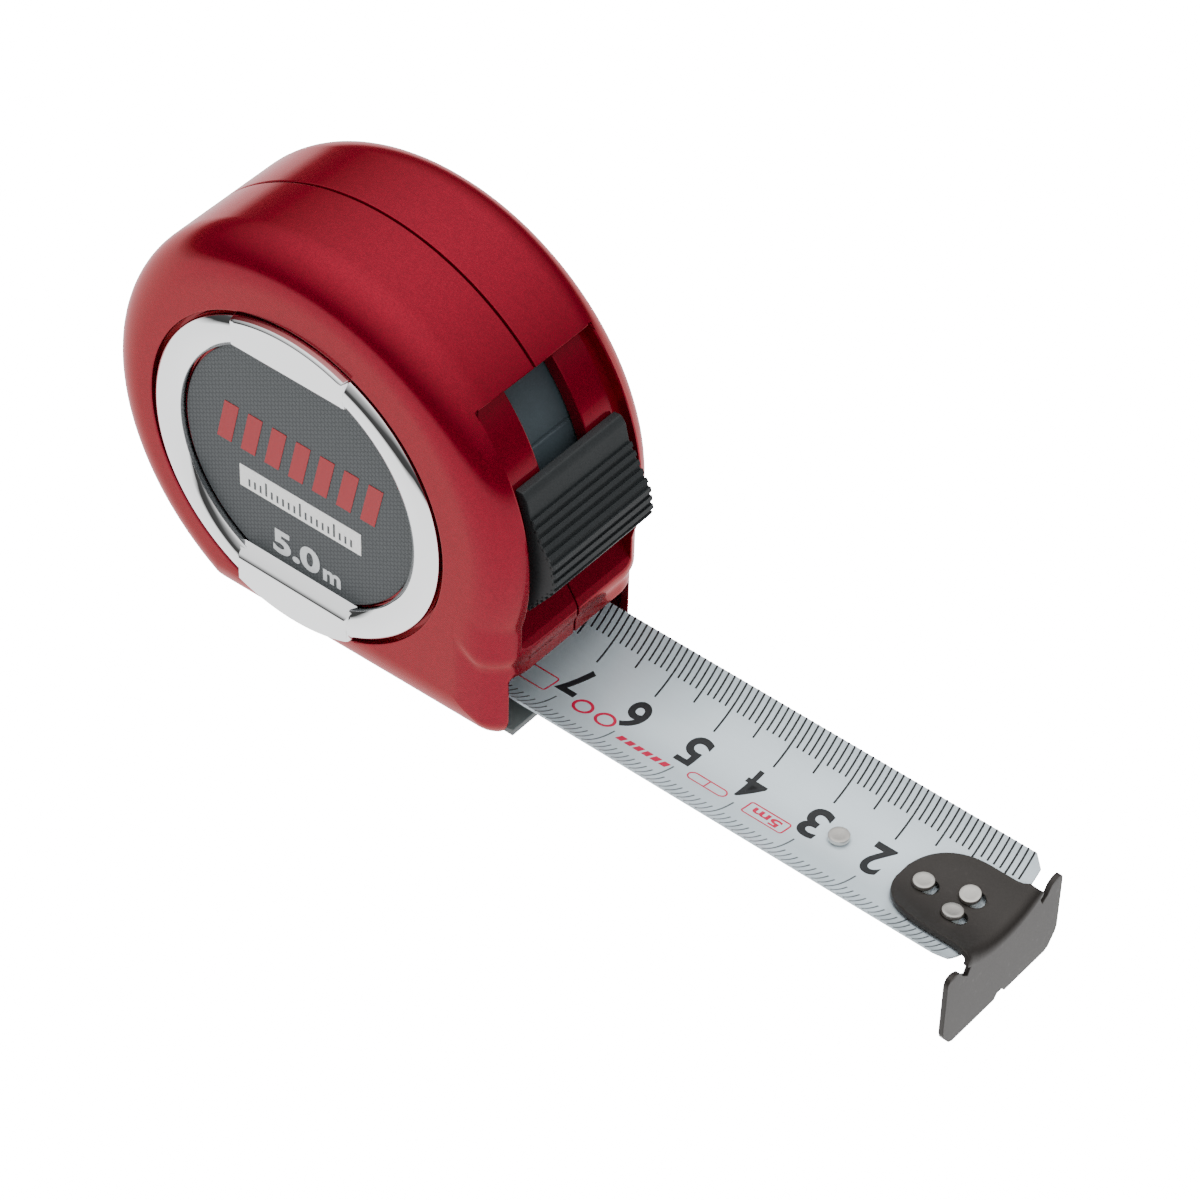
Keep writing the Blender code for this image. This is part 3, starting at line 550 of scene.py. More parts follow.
def filled(outlines, low, high, turn=None):
    """Fills closed outlines, inner ones as holes, to a plate from low to high along local Z."""
    curve = bpy.data.curves.new("outline", "CURVE")
    curve.dimensions = "2D"
    curve.fill_mode = "BOTH"
    curve.extrude = (high - low) / 2
    for outline in outlines:
        spline = curve.splines.new("POLY")
        spline.points.add(len(outline) - 1)
        spline.use_cyclic_u = True
        for point, (x, y) in zip(spline.points, outline):
            point.co = (x, y, 0.0, 1.0)
    bm = from_mesh(bake(carry(curve)))
    bmesh.ops.translate(bm, vec=(0, 0, (low + high) / 2), verts=bm.verts)
    if turn:
        bmesh.ops.transform(bm, matrix=turn, verts=bm.verts)
    return to_mesh(bm)


SIDE = Matrix(((1, 0, 0, 0), (0, 0, 1, 0), (0, 1, 0, 0), (0, 0, 0, 1)))  # drawn in (x, z), thick along Y
FRONT = Matrix(((0, 0, 1, 0), (1, 0, 0, 0), (0, 1, 0, 0), (0, 0, 0, 1)))  # drawn in (y, z), thick along X


def turned(profile, steps, at=(0.0, 0.0, 0.0), turn=None):
    """Turns a (radius, height) profile about Y. One that starts off the axis is closed to a ring."""
    bm = bmesh.new()
    rings = []
    for radius, height in profile:
        count = steps if radius > 0 else 1
        ring = []
        for step in range(count):
            angle = math.tau * step / count
            ring.append(bm.verts.new((radius * math.cos(angle), height, radius * math.sin(angle))))
        rings.append(ring)
    pairs = list(zip(rings, rings[1:]))
    if profile[0][0] > 0:
        pairs.append((rings[-1], rings[0]))
    for first, second in pairs:
        for step in range(steps):
            after = (step + 1) % steps
            corners = [first[step % len(first)], first[after % len(first)]]
            corners += [second[after % len(second)], second[step % len(second)]]
            corners = list(dict.fromkeys(corners))
            if len(corners) > 2:
                bm.faces.new(corners)
    if turn:
        bmesh.ops.transform(bm, matrix=turn, verts=bm.verts)
    bmesh.ops.translate(bm, vec=at, verts=bm.verts)
    return to_mesh(bm)


def rod(radius, low, high):
    return [(0, high), (radius, high), (radius, low), (0, low)]


def loft(rings):
    """Joins closed rings of equal length and closes both ends."""
    bm = bmesh.new()
    rows = [[bm.verts.new(point) for point in ring] for ring in rings]
    for row, following in zip(rows, rows[1:]):
        for index in range(len(row)):
            ahead = (index + 1) % len(row)
            bm.faces.new((row[index], row[ahead], following[ahead], following[index]))
    bm.faces.new(rows[0])
    bm.faces.new(rows[-1])
    return to_mesh(bm)


def slab(rows, thickness):
    """A grid of points, each with its outward direction, given a thickness inwards."""
    bm = bmesh.new()
    top = [[bm.verts.new(point) for point, _ in row] for row in rows]
    low = []
    for row in rows:
        low.append([bm.verts.new(Vector(point) - Vector(out) * thickness) for point, out in row])
    count, width = len(rows), len(rows[0])
    for layer in (top, low):
        for i in range(count - 1):
            for j in range(width - 1):
                bm.faces.new((layer[i][j], layer[i + 1][j], layer[i + 1][j + 1], layer[i][j + 1]))
    rim = [(i, 0) for i in range(count)] + [(count - 1, j) for j in range(1, width)]
    rim += [(i, width - 1) for i in range(count - 2, -1, -1)] + [(0, j) for j in range(width - 2, 0, -1)]
    for (a, b), (c, d) in zip(rim, rim[1:] + rim[:1]):
        bm.faces.new((top[a][b], top[c][d], low[c][d], low[a][b]))
    return to_mesh(bm)


def merged(meshes):
    bm = bmesh.new()
    for mesh in meshes:
        bm.from_mesh(mesh)
        bpy.data.meshes.remove(mesh)
    return to_mesh(bm, 1e-6)


def show(name, mesh, finishes, body, stands_for=(), sharp=38, weighted=True):
    """Puts a finished mesh in its place in the frame and says what it rides on."""
    mesh.transform(Matrix.Translation(ORIGIN) @ Matrix.Scale(MM, 4))
    mesh.name = name
    mesh.materials.clear()
    for finish in finishes:
        mesh.materials.append(FINISHES[finish])
    mesh.shade_smooth()
    mesh.set_sharp_from_angle(angle=math.radians(sharp))
    if weighted:
        carrier = carry(mesh)
        modifier = carrier.modifiers.new("weighted", "WEIGHTED_NORMAL")
        modifier.keep_sharp = True
        mesh = bake(carrier)
    piece = carry(mesh, name)
    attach(piece, body)
    if stands_for:
        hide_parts(*stands_for)
    return piece


# ---------------------------------------------------------------- node trees

def new_tree(name, inputs):
    """A geometry tree with named inputs, and a helper that adds and links its nodes."""
    tree = bpy.data.node_groups.new(name, "GeometryNodeTree")
    tree.interface.new_socket("Geometry", in_out="INPUT", socket_type="NodeSocketGeometry")
    for label, kind in inputs:
        tree.interface.new_socket(label, in_out="INPUT", socket_type=kind)
    tree.interface.new_socket("Geometry", in_out="OUTPUT", socket_type="NodeSocketGeometry")

    def add(kind, settings=None, values=None, out=0):
        node = tree.nodes.new(kind)
        for setting, value in (settings or {}).items():
            setattr(node, setting, value)
        for socket, value in (values or {}).items():
            if isinstance(value, bpy.types.NodeSocket):
                tree.links.new(value, node.inputs[socket])
            else:
                node.inputs[socket].default_value = value
        return node.outputs[out]

    entry = tree.nodes.new("NodeGroupInput")
    given = {socket.name: socket for socket in entry.outputs if socket.name}
    return tree, add, given


def close_tree(tree, add, geometry, finish):
    real = add("GeometryNodeRealizeInstances", None, {"Geometry": geometry})
    painted = add("GeometryNodeSetMaterial", None, {"Geometry": real, "Material": finish})
    leave = tree.nodes.new("NodeGroupOutput")
    tree.links.new(painted, leave.inputs[0])


def run_tree(tree, values, points=None):
    """Evaluates a tree on a small carrier and returns the plain mesh."""
    mesh = points or bpy.data.meshes.new("points")
    carrier = carry(mesh)
    modifier = carrier.modifiers.new("tree", "NODES")
    modifier.node_group = tree
    for item in tree.interface.items_tree:
        if item.in_out == "INPUT" and item.name in values:
            modifier[item.identifier] = values[item.name]
    return bake(carrier)


def scatter_tree():
    """Sets one item on every point of the input, turned by the point's own turn and sized by its size."""
    tree, add, given = new_tree("set_out_copies", [
        ("Item", "NodeSocketObject"), ("Overall size", "NodeSocketFloat"), ("Finish", "NodeSocketMaterial"),
    ])
    item = add(
        "GeometryNodeObjectInfo", {"transform_space": "ORIGINAL"}, {"Object": given["Item"]}, "Geometry",
    )
    turn = add("GeometryNodeInputNamedAttribute", {"data_type": "FLOAT_VECTOR"}, {"Name": "turn"})
    size = add("GeometryNodeInputNamedAttribute", {"data_type": "FLOAT"}, {"Name": "size"})
    scale = add("ShaderNodeMath", {"operation": "MULTIPLY"}, {0: size, 1: given["Overall size"]})
    copies = add("GeometryNodeInstanceOnPoints", None, {
        "Points": given["Geometry"], "Instance": item, "Rotation": turn, "Scale": scale,
    })
    close_tree(tree, add, copies, given["Finish"])
    return tree


def set_out(item, spots, finish):
    """Copies of a mesh at (place, turn, size) spots, through the scatter tree."""
    points = bpy.data.meshes.new("spots")
    points.from_pydata([place for place, _, _ in spots], [], [])
    points.attributes.new("turn", "FLOAT_VECTOR", "POINT")
    points.attributes.new("size", "FLOAT", "POINT")
    turns = [part for _, turn, _ in spots for part in turn]
    points.attributes["turn"].data.foreach_set("vector", turns)
    points.attributes["size"].data.foreach_set("value", [size for _, _, size in spots])
    holder = carry(item, "item")
    tree = bpy.data.node_groups.get("set_out_copies") or scatter_tree()
    mesh = run_tree(tree, {"Item": holder, "Overall size": 1.0, "Finish": FINISHES[finish]}, points)
    bpy.data.objects.remove(holder)
    return mesh


def scale_tree():
    """Printed marks in a row along the blade, longer at every fifth and tenth, bent over its hollow."""
    tree, add, given = new_tree("blade_scale", [
        ("First mark", "NodeSocketInt"), ("Last mark", "NodeSocketInt"), ("Zero", "NodeSocketFloat"),
        ("Pitch", "NodeSocketFloat"), ("Line width", "NodeSocketFloat"), ("Ink depth", "NodeSocketFloat"),
        ("Short", "NodeSocketFloat"), ("Middle", "NodeSocketFloat"), ("Long", "NodeSocketFloat"),
        ("Edge", "NodeSocketFloat"), ("Side", "NodeSocketFloat"), ("Hollow radius", "NodeSocketFloat"),
        ("Hollow height", "NodeSocketFloat"), ("Finish", "NodeSocketMaterial"),
    ])

    def calc(operation, first, second=0.0, third=0.0):
        return add("ShaderNodeMath", {"operation": operation}, {0: first, 1: second, 2: third})

    def vector(x, y, z):
        return add("ShaderNodeCombineXYZ", None, {"X": x, "Y": y, "Z": z})

    count = calc("ADD", calc("SUBTRACT", given["Last mark"], given["First mark"]), 1.0)
    start_x = calc("SUBTRACT", given["Zero"], calc("MULTIPLY", given["First mark"], given["Pitch"]))
    row = add("GeometryNodeMeshLine", {"mode": "OFFSET"}, {
        "Count": count, "Start Location": vector(start_x, 0.0, 0.0),
        "Offset": vector(calc("MULTIPLY", given["Pitch"], -1.0), 0.0, 0.0),
    })
    number = calc("ADD", add("GeometryNodeInputIndex"), given["First mark"])
    fifth = calc("LESS_THAN", calc("MODULO", number, 5.0), 0.5)
    tenth = calc("LESS_THAN", calc("MODULO", number, 10.0), 0.5)
    to_middle = calc("MULTIPLY_ADD", fifth, calc("SUBTRACT", given["Middle"], given["Short"]), given["Short"])
    length = calc("MULTIPLY_ADD", tenth, calc("SUBTRACT", given["Long"], given["Middle"]), to_middle)
    mark = add("GeometryNodeMeshCube", None, {
        "Size": (1.0, 1.0, 1.0), "Vertices X": 2, "Vertices Y": 7, "Vertices Z": 2,
    })
    mark = add("GeometryNodeTransform", None, {"Geometry": mark, "Translation": (0.0, -0.5, 0.0)})
    copies = add("GeometryNodeInstanceOnPoints", None, {
        "Points": row, "Instance": mark,
        "Scale": vector(given["Line width"], length, given["Ink depth"]),
    })
    flat = add("GeometryNodeRealizeInstances", None, {"Geometry": copies})
    spot = add("GeometryNodeInputPosition")
    parts = add("ShaderNodeSeparateXYZ", None, {"Vector": spot}).node.outputs
    along = calc("MULTIPLY", calc("ADD", parts[1], given["Edge"]), given["Side"])
    angle = calc("DIVIDE", along, given["Hollow radius"])
    radius = calc("SUBTRACT", given["Hollow radius"], parts[2])
    height = calc("SUBTRACT", given["Hollow height"], calc("MULTIPLY", radius, calc("COSINE", angle)))
    bent = vector(parts[0], calc("MULTIPLY", radius, calc("SINE", angle)), height)
    laid = add("GeometryNodeSetPosition", None, {"Geometry": flat, "Position": bent})
    close_tree(tree, add, laid, given["Finish"])
    return tree


# ---------------------------------------------------------------- case

def case_outline(inset, fine):
    """Side outline of the case, drawn in by inset: flat base, upright front, round top and back."""
    radius = CASE_R - inset
    front = FRONT_X - inset
    foot = max(FOOT_R - inset, 0.5)
    meet = -math.degrees(math.acos((front - CASE_X) / radius))
    heel_z = inset + foot
    heel_x = CASE_X - math.sqrt((radius - foot) ** 2 - (CASE_Z - heel_z) ** 2)
    heel_angle = math.degrees(math.atan2(heel_z - CASE_Z, heel_x - CASE_X))
    points = arc((front - foot, inset + foot), foot, -90, 0, 5 * fine)
    meet_z = CASE_Z + radius * math.sin(math.radians(meet))
    rise = meet_z - inset - foot
    points += [(front, inset + foot + rise * step / (6 * fine)) for step in range(1, 6 * fine)]
    points += arc((CASE_X, CASE_Z), radius, meet, 360 + heel_angle, 44 * fine)
    points += arc((heel_x, heel_z), foot, 360 + heel_angle, 270, 4 * fine)[1:]
    return points


def smooth(value):
    value = min(max(value, 0.0), 1.0)
    return value * value * (3 - 2 * value)


def below_fold(x, z):
    """How far a point lies under the fold where cheek and lip meet the legs, from 0 to 1."""
    fold_z = FOLD_Z + max(0.0, 31.0 - x) * 0.9
    return smooth((fold_z - z) / 1.3 + 0.5) * smooth((x - 27.0) / 4.0)


def shell_body(side, edge_round):
    """The shell's outside: soft edges, and legs set back a little below the cheeks."""
    levels = [(CLEAR / 2, 0.22, 0.0), (CLEAR / 2 + 0.07, 0.07, 0.0), (CLEAR / 2 + 0.22, 0.0, 0.0)]
    steps = 14
    for step in range(steps + 1):
        turn = math.radians(90 * step / steps)
        y = HALF_W - edge_round + edge_round * math.sin(turn)
        levels.append((y, edge_round * (1 - math.cos(turn)), math.sin(turn)))
    levels += [(HALF_W, edge_round + more, 1.0) for more in (0.8, 1.6)]
    rings = []
    for y, inset, facing in levels:
        ring = []
        for (x0, z0), (x1, z1) in zip(case_outline(inset, 3), case_outline(inset + FOLD_DEPTH, 3)):
            share = below_fold(x0, z0)
            outward = math.sqrt(max(0.0, 1 - facing * facing)) * share
            across = side * (y - FOLD_DEPTH * facing * share)
            ring.append((x0 + (x1 - x0) * outward, across, z0 + (z1 - z0) * outward))
        rings.append(ring)
    return loft(rings)


def cavity():
    """The hollow of both shells, less the wall behind the lock's rails."""
    levels = []
    round_r = 3.0
    for step in range(4):
        turn = math.radians(90 * step / 3)
        y = CAVITY_HALF_W - round_r + round_r * math.sin(turn)
        levels.append((y, WALL + round_r * (1 - math.cos(turn))))
    levels = [(-y, inset) for y, inset in levels[::-1]] + levels
    hollow = loft([[(x, y, z) for x, z in case_outline(inset, 1)] for y, inset in levels])
    backing = sector(BACKING_R, CASE_R + 2, RECESS_BOTTOM - 6, RECESS_TOP + 4, 40)
    return combine(hollow, [(filled([backing], -HALF_W, HALF_W, SIDE), "DIFFERENCE")])


def recess():
    """Open front of the lock, with a sloping sill that steps down to a rounded lip."""
    outline = arc((CASE_X, CASE_Z), RAIL_R, RECESS_TOP, RECESS_BOTTOM, 48)
    rail_foot = outline[-1]
    outline += [
        (FRONT_X - 0.75, rail_foot[1] - 2.35), (FRONT_X - 0.62, rail_foot[1] - 2.6),
        (FRONT_X - 0.10, rail_foot[1] - 3.6), (FRONT_X + 1.0, rail_foot[1] - 4.6),
        (FRONT_X + 12, rail_foot[1]), on_case(CASE_R + 12, RECESS_TOP),
    ]
    return filled([outline], -RECESS_HALF_W, RECESS_HALF_W, SIDE)


def boss_places():
    places = [on_case(CASE_R - 4.7, angle) for angle in (85.0, 150.0, 234.0)]
    return places + [on_case(CASE_R - 5.8, -28.5)]


def rods(radius, low, high, steps):
    return merged([turned(rod(radius, low, high), steps, (x, 0, z)) for x, z in boss_places()])


def on_rim(spot):
    """True on the outside rims of a shell that are worth rounding."""
    radius = math.hypot(spot.x - CASE_X, spot.z - CASE_Z)
    if abs(spot.y) < CLEAR:
        return False
    outside = radius > CASE_R - 0.35 or spot.x > FRONT_X - 0.9 or abs(spot.y) > HALF_W - 0.1
    rail = abs(radius - RAIL_R) < 0.15 and abs(spot.y) < SLOT_HALF_W + 0.2 and spot.x > CASE_X
    return outside or rail


def in_recess(spot):
    """True on the faces of the lock's recess, which get a darker red lacquer as painted shade."""
    radius = math.hypot(spot.x - CASE_X, spot.z - CASE_Z)
    between = abs(spot.y) < RECESS_HALF_W + 0.05 and BACKING_R < radius < CASE_R - 0.35
    return between and spot.x > CASE_X + 20 and spot.z > MOUTH_TOP + 3.2


def shell(side, edge_round, rim_round):
    steps = [(cavity(), "DIFFERENCE"), (recess(), "DIFFERENCE")]
    slot = sector(BACKING_R - 1, RAIL_R + 1, RECESS_BOTTOM + 4, RECESS_TOP - 0.7, 36)
    steps.append((filled([slot], -SLOT_HALF_W, SLOT_HALF_W, SIDE), "DIFFERENCE"))
    mouth = [(-MOUTH_HALF_W, WALL - 0.2), (MOUTH_HALF_W, WALL - 0.2)]
    mouth += arc((MOUTH_HALF_W - 0.8, MOUTH_TOP - 0.8), 0.8, 0, 90, 4)
    mouth += arc((0.8 - MOUTH_HALF_W, MOUTH_TOP - 0.8), 0.8, 90, 180, 4)
    steps.append((filled([mouth], FRONT_X - 9, FRONT_X + 3, FRONT), "DIFFERENCE"))
    ends = sorted((side * CLEAR, side * (CAVITY_HALF_W + CLEAR)))
    steps.append((rods(3.0, *ends, 32), "UNION"))
    if side < 0:
        steps.append((rods(BOSS_HOLE, -9.0, 2 * CLEAR, 20), "DIFFERENCE"))
        seat = turned(rod(RING_R + 2 * CLEAR, -HALF_W - 2, SEAT_Y), 180, (0, 0, AXIS_Z))
        steps.append((seat, "DIFFERENCE"))
    else:
        steps.append((rods(BOSS_HOLE, -CLEAR, HALF_W + 2, 20), "DIFFERENCE"))
        steps.append((rods(WELL_R, HALF_W - WELL_DEPTH, HALF_W + 1, 40), "DIFFERENCE"))
        bore = turned(rod(CLIP_HOLE, CAVITY_HALF_W - 1, HALF_W + 1), 32, (0, 0, AXIS_Z))
        steps.append((bore, "DIFFERENCE"))
    mesh = combine(shell_body(side, edge_round), steps)
    mesh = soften(mesh, rim_round, on_rim)
    # Recess faces take the darker red, which is painted shade.
    for face in mesh.polygons:
        face.material_index = int(in_recess(face.center))
    return mesh


class TAPE_OT_case(bpy.types.Operator):
    """Both lacquered shells, hollow, with the lock's recess, the mouth and the screw wells"""
    bl_idname = "tape.case"
    bl_label = "Case shells"

    def execute(self, context):
        case = context.scene.tape_case
        sizes = (case.edge_round / MM, case.rim_round / MM)
        show("shell_badge_side", shell(-1, *sizes), ("shell", "recess"), "case", ("case_left",))
        show("shell_clip_side", shell(1, *sizes), ("shell", "recess"), "case", ("case_right",))
        return {"FINISHED"}


class TAPE_OT_bumper(bpy.types.Operator):
    """Grooved guide plate on the mouth's floor"""
    bl_idname = "tape.bumper"
    bl_label = "Mouth bumper"

    def execute(self, context):
        half = MOUTH_HALF_W - CLEAR
        low, high = reach("mouth_bumper", 0, 2), reach("mouth_bumper", 1, 2)
        groove = 4.4
        outline = [
            (-half, low), (half, low), (half, high), (groove + 0.4, high), (groove, high - 0.7),
            (-groove, high - 0.7), (-groove - 0.4, high), (-half, high),
        ]
        ends = (reach("mouth_bumper", 0, 0), reach("mouth_bumper", 1, 0))
        plate = soften(filled([outline], *ends, FRONT), 0.15)
        show("mouth_bumper_plate", plate, ("guide",), "case", ("mouth_bumper",))
        return {"FINISHED"}


# ---------------------------------------------------------------- badge

def ring_body():
    """Crowned ring with two raised lugs whose inner faces slope down to the disc."""
    base = SEAT_Y - CLEAR
    side = -HALF_W
    inner = BADGE_R + CLEAR
    profile = [(inner, base), (RING_R, base), (RING_R, side + 0.1)]
    steps = 14
    for step in range(steps + 1):
        share = step / steps
        crown = 1 - abs(2 * share - 1) ** 2.2
        profile.append((RING_R - (RING_R - inner) * share, side + 0.1 - 1.15 * crown))
    ring = turned(profile, 160, (0, 0, AXIS_Z))
    half = math.degrees(math.acos(LUG_CHORD / inner)) + 1.5
    for sign in (1, -1):
        rows = []
        slopes = (
            (base - 0.4, -0.3), (LUG_FACE_Y + 0.5, 0.55), (LUG_FACE_Y + 0.12, 0.9), (LUG_FACE_Y, 1.4),
        )
        for y, inset in slopes:
            chord = LUG_CHORD + inset
            span = LUG_CHORD * math.tan(math.radians(half)) - inset * 0.45
            outer = RING_R + 0.4 - max(inset, 0.0) * 0.55
            edge = math.degrees(math.atan2(math.sqrt(outer ** 2 - span ** 2), span))
            rim = arc((0, 0), outer, edge, 180 - edge, 24)
            rim = [(span, chord)] + rim + [(-span, chord)]
            rows.append([(x, y, AXIS_Z + sign * z) for x, z in rim])
        ring = combine(ring, [(loft(rows), "UNION")])
    return soften(ring, 0.18, angle=35)


def badge_print(outlines, height=0.05):
    face = reach("label_disc", 0, 1)
    return filled(outlines, face - height, face + 0.03, SIDE)


def letters(text, size, bold):
    """Flat outlines of generic marks set in the built-in face, as a mesh in (x, y)."""
    curve = bpy.data.curves.new("marks", "FONT")
    curve.body = text
    curve.size = size
    curve.offset = bold
    curve.resolution_u = 6
    curve.extrude = 0.5
    return from_mesh(bake(carry(curve)))


def fit_letters(text, low, high, bold=0.0, bottom=0.0, top=1.0):
    """A text block stretched to a box drawn in (x, y), from bottom to top in z."""
    bm = letters(text, 10.0, bold)
    bmesh.ops.remove_doubles(bm, verts=bm.verts, dist=1e-4)
    xs = [vert.co.x for vert in bm.verts]
    ys = [vert.co.y for vert in bm.verts]
    wide = (high[0] - low[0]) / (max(xs) - min(xs))
    tall = (high[1] - low[1]) / (max(ys) - min(ys))
    for vert in bm.verts:
        vert.co = (
            low[0] + (vert.co.x - min(xs)) * wide, low[1] + (vert.co.y - min(ys)) * tall,
            bottom if vert.co.z < 0 else top,
        )
    return bm


class TAPE_OT_badge(bpy.types.Operator):
    """Bright ring with its lugs, the woven disc and its plain printed marks"""
    bl_idname = "tape.badge"
    bl_label = "Badge"

    def execute(self, context):
        show("badge_ring", ring_body(), ("chrome",), "case", ("bezel_ring",))
        face, back = reach("label_disc", 0, 1), reach("label_disc", 1, 1)
        edge = 0.08
        profile = [
            (0, back), (BADGE_R, back), (BADGE_R, face + edge), (BADGE_R - edge, face),
            (BADGE_R - 1.2, face), (BADGE_R - 1.3, face + 0.02), (0, face + 0.02),
        ]
        show("badge_disc", turned(profile, 128, (0, 0, AXIS_Z)), ("foil",), "case", ("label_disc",))
        band = [(-10.7, 22.3), (10.7, 22.3), (10.7, 26.1), (-10.7, 26.1)]
        show("badge_band", badge_print([band]), ("white_ink",), "case")
        ruler = []
        for mark in range(19):
            x = -9.0 + mark
            tall = 2.3 if mark % 6 == 3 else 1.3
            left, right, foot = x - 0.16, x + 0.16, 22.9
            ruler.append([(left, foot), (right, foot), (right, foot + tall), (left, foot + tall)])
        show("badge_ruler_marks", badge_print(ruler, 0.08), ("grey_ink",), "case")
        motif = []
        for bar in range(7):
            x = -14.6 + bar * 4.2
            motif.append([(x, 29.0), (x + 2.5, 29.0), (x + 4.1, 36.0), (x + 1.6, 36.0)])
        show("badge_stripes", badge_print(motif), ("red_ink",), "case")
        sizes = []
        for text, low, high in (("5.0", (-5.0, 13.8), (3.3, 18.1)), ("m", (3.9, 13.8), (7.0, 15.9))):
            bm = fit_letters(text, low, high, 0.35, face - 0.05, face + 0.03)
            bmesh.ops.transform(bm, matrix=SIDE, verts=bm.verts)
            sizes.append(to_mesh(bm))
        show("badge_length", merged(sizes), ("silver_ink",), "case")
        return {"FINISHED"}


# ---------------------------------------------------------------- lock

def button_profile():
    """Side outline of the button: rest on the rails, top bar, ribbed front, ribbed underside."""
    rest = arc((CASE_X, CASE_Z), RAIL_R + CLEAR, 22.3, -13.5, 24)
    low_x, low_z = rest[-1]
    top_x, top_z = rest[0]
    tip = reach("lock_button", 1, 0)
    front = [
        (top_x + 1.3, top_z + 0.1), (top_x + 2.1, top_z - 0.9), (top_x + 2.7, top_z - 3.4),
        (tip - 2.9, low_z + 14.0), (tip - 1.1, low_z + 11.2), (tip - 0.5, low_z + 7.6),
        (tip - 1.1, low_z + 6.4), (low_x + 0.7, low_z + 0.9),
    ]
    return rest, front


def along_path(path, count):
    """Evenly spaced points on a path, each with the direction it runs in."""
    lengths = [math.dist(a, b) for a, b in zip(path, path[1:])]
    total = sum(lengths)
    spots = []
    for step in range(count):
        left = total * (step + 0.5) / count
        for (a, b), length in zip(zip(path, path[1:]), lengths):
            if left <= length:
                share = left / length
                spots.append((
                    a[0] + (b[0] - a[0]) * share, a[1] + (b[1] - a[1]) * share,
                    math.atan2(b[1] - a[1], b[0] - a[0]),
                ))
                break
            left -= length
    return spots


class TAPE_OT_lock(bpy.types.Operator):
    """Ribbed thumb button and the tongue behind its slot"""
    bl_idname = "tape.lock"
    bl_label = "Blade lock"

    def execute(self, context):
        rest, front = button_profile()
        half = BUTTON_HALF_W
        body = filled([rest + front[::-1]], -half, half, SIDE)
        neck = sector(BACKING_R - CLEAR / 3, RAIL_R + 1.0, -10.5, 19.3, 12)
        body = combine(body, [(filled([neck], CLEAR - SLOT_HALF_W, SLOT_HALF_W - CLEAR, SIDE), "UNION")])
        show("button_body", soften(body, 0.22), ("button",), "lock", ("lock_button",))
        rib_w, rib_h = 0.72, 0.42
        section = [
            (-rib_w / 2, -0.3), (rib_w / 2, -0.3), (rib_w / 2, rib_h - 0.2), (rib_w / 2 - 0.14, rib_h - 0.04),
            (rib_w / 2 - 0.24, rib_h), (0.24 - rib_w / 2, rib_h), (0.14 - rib_w / 2, rib_h - 0.04),
            (-rib_w / 2, rib_h - 0.2),
        ]
        bar = soften(filled([section], -half, half, SIDE), 0.1, lambda spot: abs(spot.y) > half - 0.05)
        spots = []
        for x, z, angle in along_path(front[2:], context.scene.tape_fittings.rib_count):
            spots.append(((x, 0.0, z), (0.0, -angle + math.pi, 0.0), 1.0))
        show("button_ribs", set_out(bar, spots, "button"), ("button",), "lock")
        arm_r = BACKING_R - 2 * CLEAR
        arm_w = SLOT_HALF_W + 0.8
        outline = arc((CASE_X, CASE_Z), arm_r, -14.0, 24.6, 30)
        outline += arc((CASE_X, CASE_Z), arm_r - 0.12, 24.8, 25.4, 2)
        outline += arc((CASE_X, CASE_Z), arm_r, 25.6, 45.0, 24)
        outline += arc((CASE_X, CASE_Z), arm_r - 1.2, 45.0, -14.0, 56)
        tongue = soften(filled([outline], -arm_w, arm_w, SIDE), 0.12)
        show("lock_tongue", tongue, ("slate",), "lock", ("lock_arm",))
        return {"FINISHED"}


# ---------------------------------------------------------------- blade

def blade_row(x, half, steps):
    """Points across the blade's upper face with their outward directions."""
    share = smooth((x - FLAT_X) / (FRONT_X - FRONT_LEAD - FLAT_X))
    bend = max(share, 1e-3) / CURVE_R
    lowest = TROUGH_Z + BLADE_RISE * (1 - share)
    row = []
    for step in range(steps + 1):
        across = half * (2 * step / steps - 1)
        angle = across * bend
        out = Vector((0.0, -math.sin(angle), math.cos(angle)))
        under = Vector((x, math.sin(angle) / bend, lowest + (1 - math.cos(angle)) / bend))
        row.append((under + out * BLADE_T, out))
    return row


def ride_blade(piece):
    """Gives a strip its own mesh. The hook's travel is worked out, but the strip is not made to shorten."""
    length = BLADE_END * MM
    travel = 0.0688
    1 - travel / length
    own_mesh(piece)


def hollow_print(bm):
    """Bends a flat print, drawn in (x, across), over the blade's hollow, fine enough to follow it."""
    for step in range(-14, 15):
        geometry = bm.verts[:] + bm.edges[:] + bm.faces[:]
        cut = (0, step * 0.8 + 0.05, 0)
        bmesh.ops.bisect_plane(bm, geom=geometry, plane_co=cut, plane_no=(0, 1, 0))
    top = CURVE_R - BLADE_T
    for vert in bm.verts:
        x, across, height = vert.co
        radius = top - height
        vert.co = (x, radius * math.sin(across / top), CURVE_Z - radius * math.cos(across / top))
    return to_mesh(bm, 1e-5)


def flat_print(outlines):
    return from_mesh(filled(outlines, PRINT_LOW, PRINT_HIGH))


def frame_outlines(low, high, line, corner):
    """Rounded box outline and its inner edge."""
    made = []
    for inset in (0.0, line):
        x0, y0, x1, y1 = low[0] + inset, low[1] + inset, high[0] - inset, high[1] - inset
        r = max(corner - inset, 0.05)
        outline = arc((x1 - r, y0 + r), r, -90, 0, 6) + arc((x1 - r, y1 - r), r, 0, 90, 6)
        outline += arc((x0 + r, y1 - r), r, 90, 180, 6) + arc((x0 + r, y0 + r), r, 180, 270, 6)
        made.append(outline)
    return made


def half_turned(bm, centre):
    """Turns a print half round, so that it reads from the far side."""
    for vert in bm.verts:
        vert.co = (2 * centre[0] - vert.co.x, 2 * centre[1] - vert.co.y, vert.co.z)
    return bm


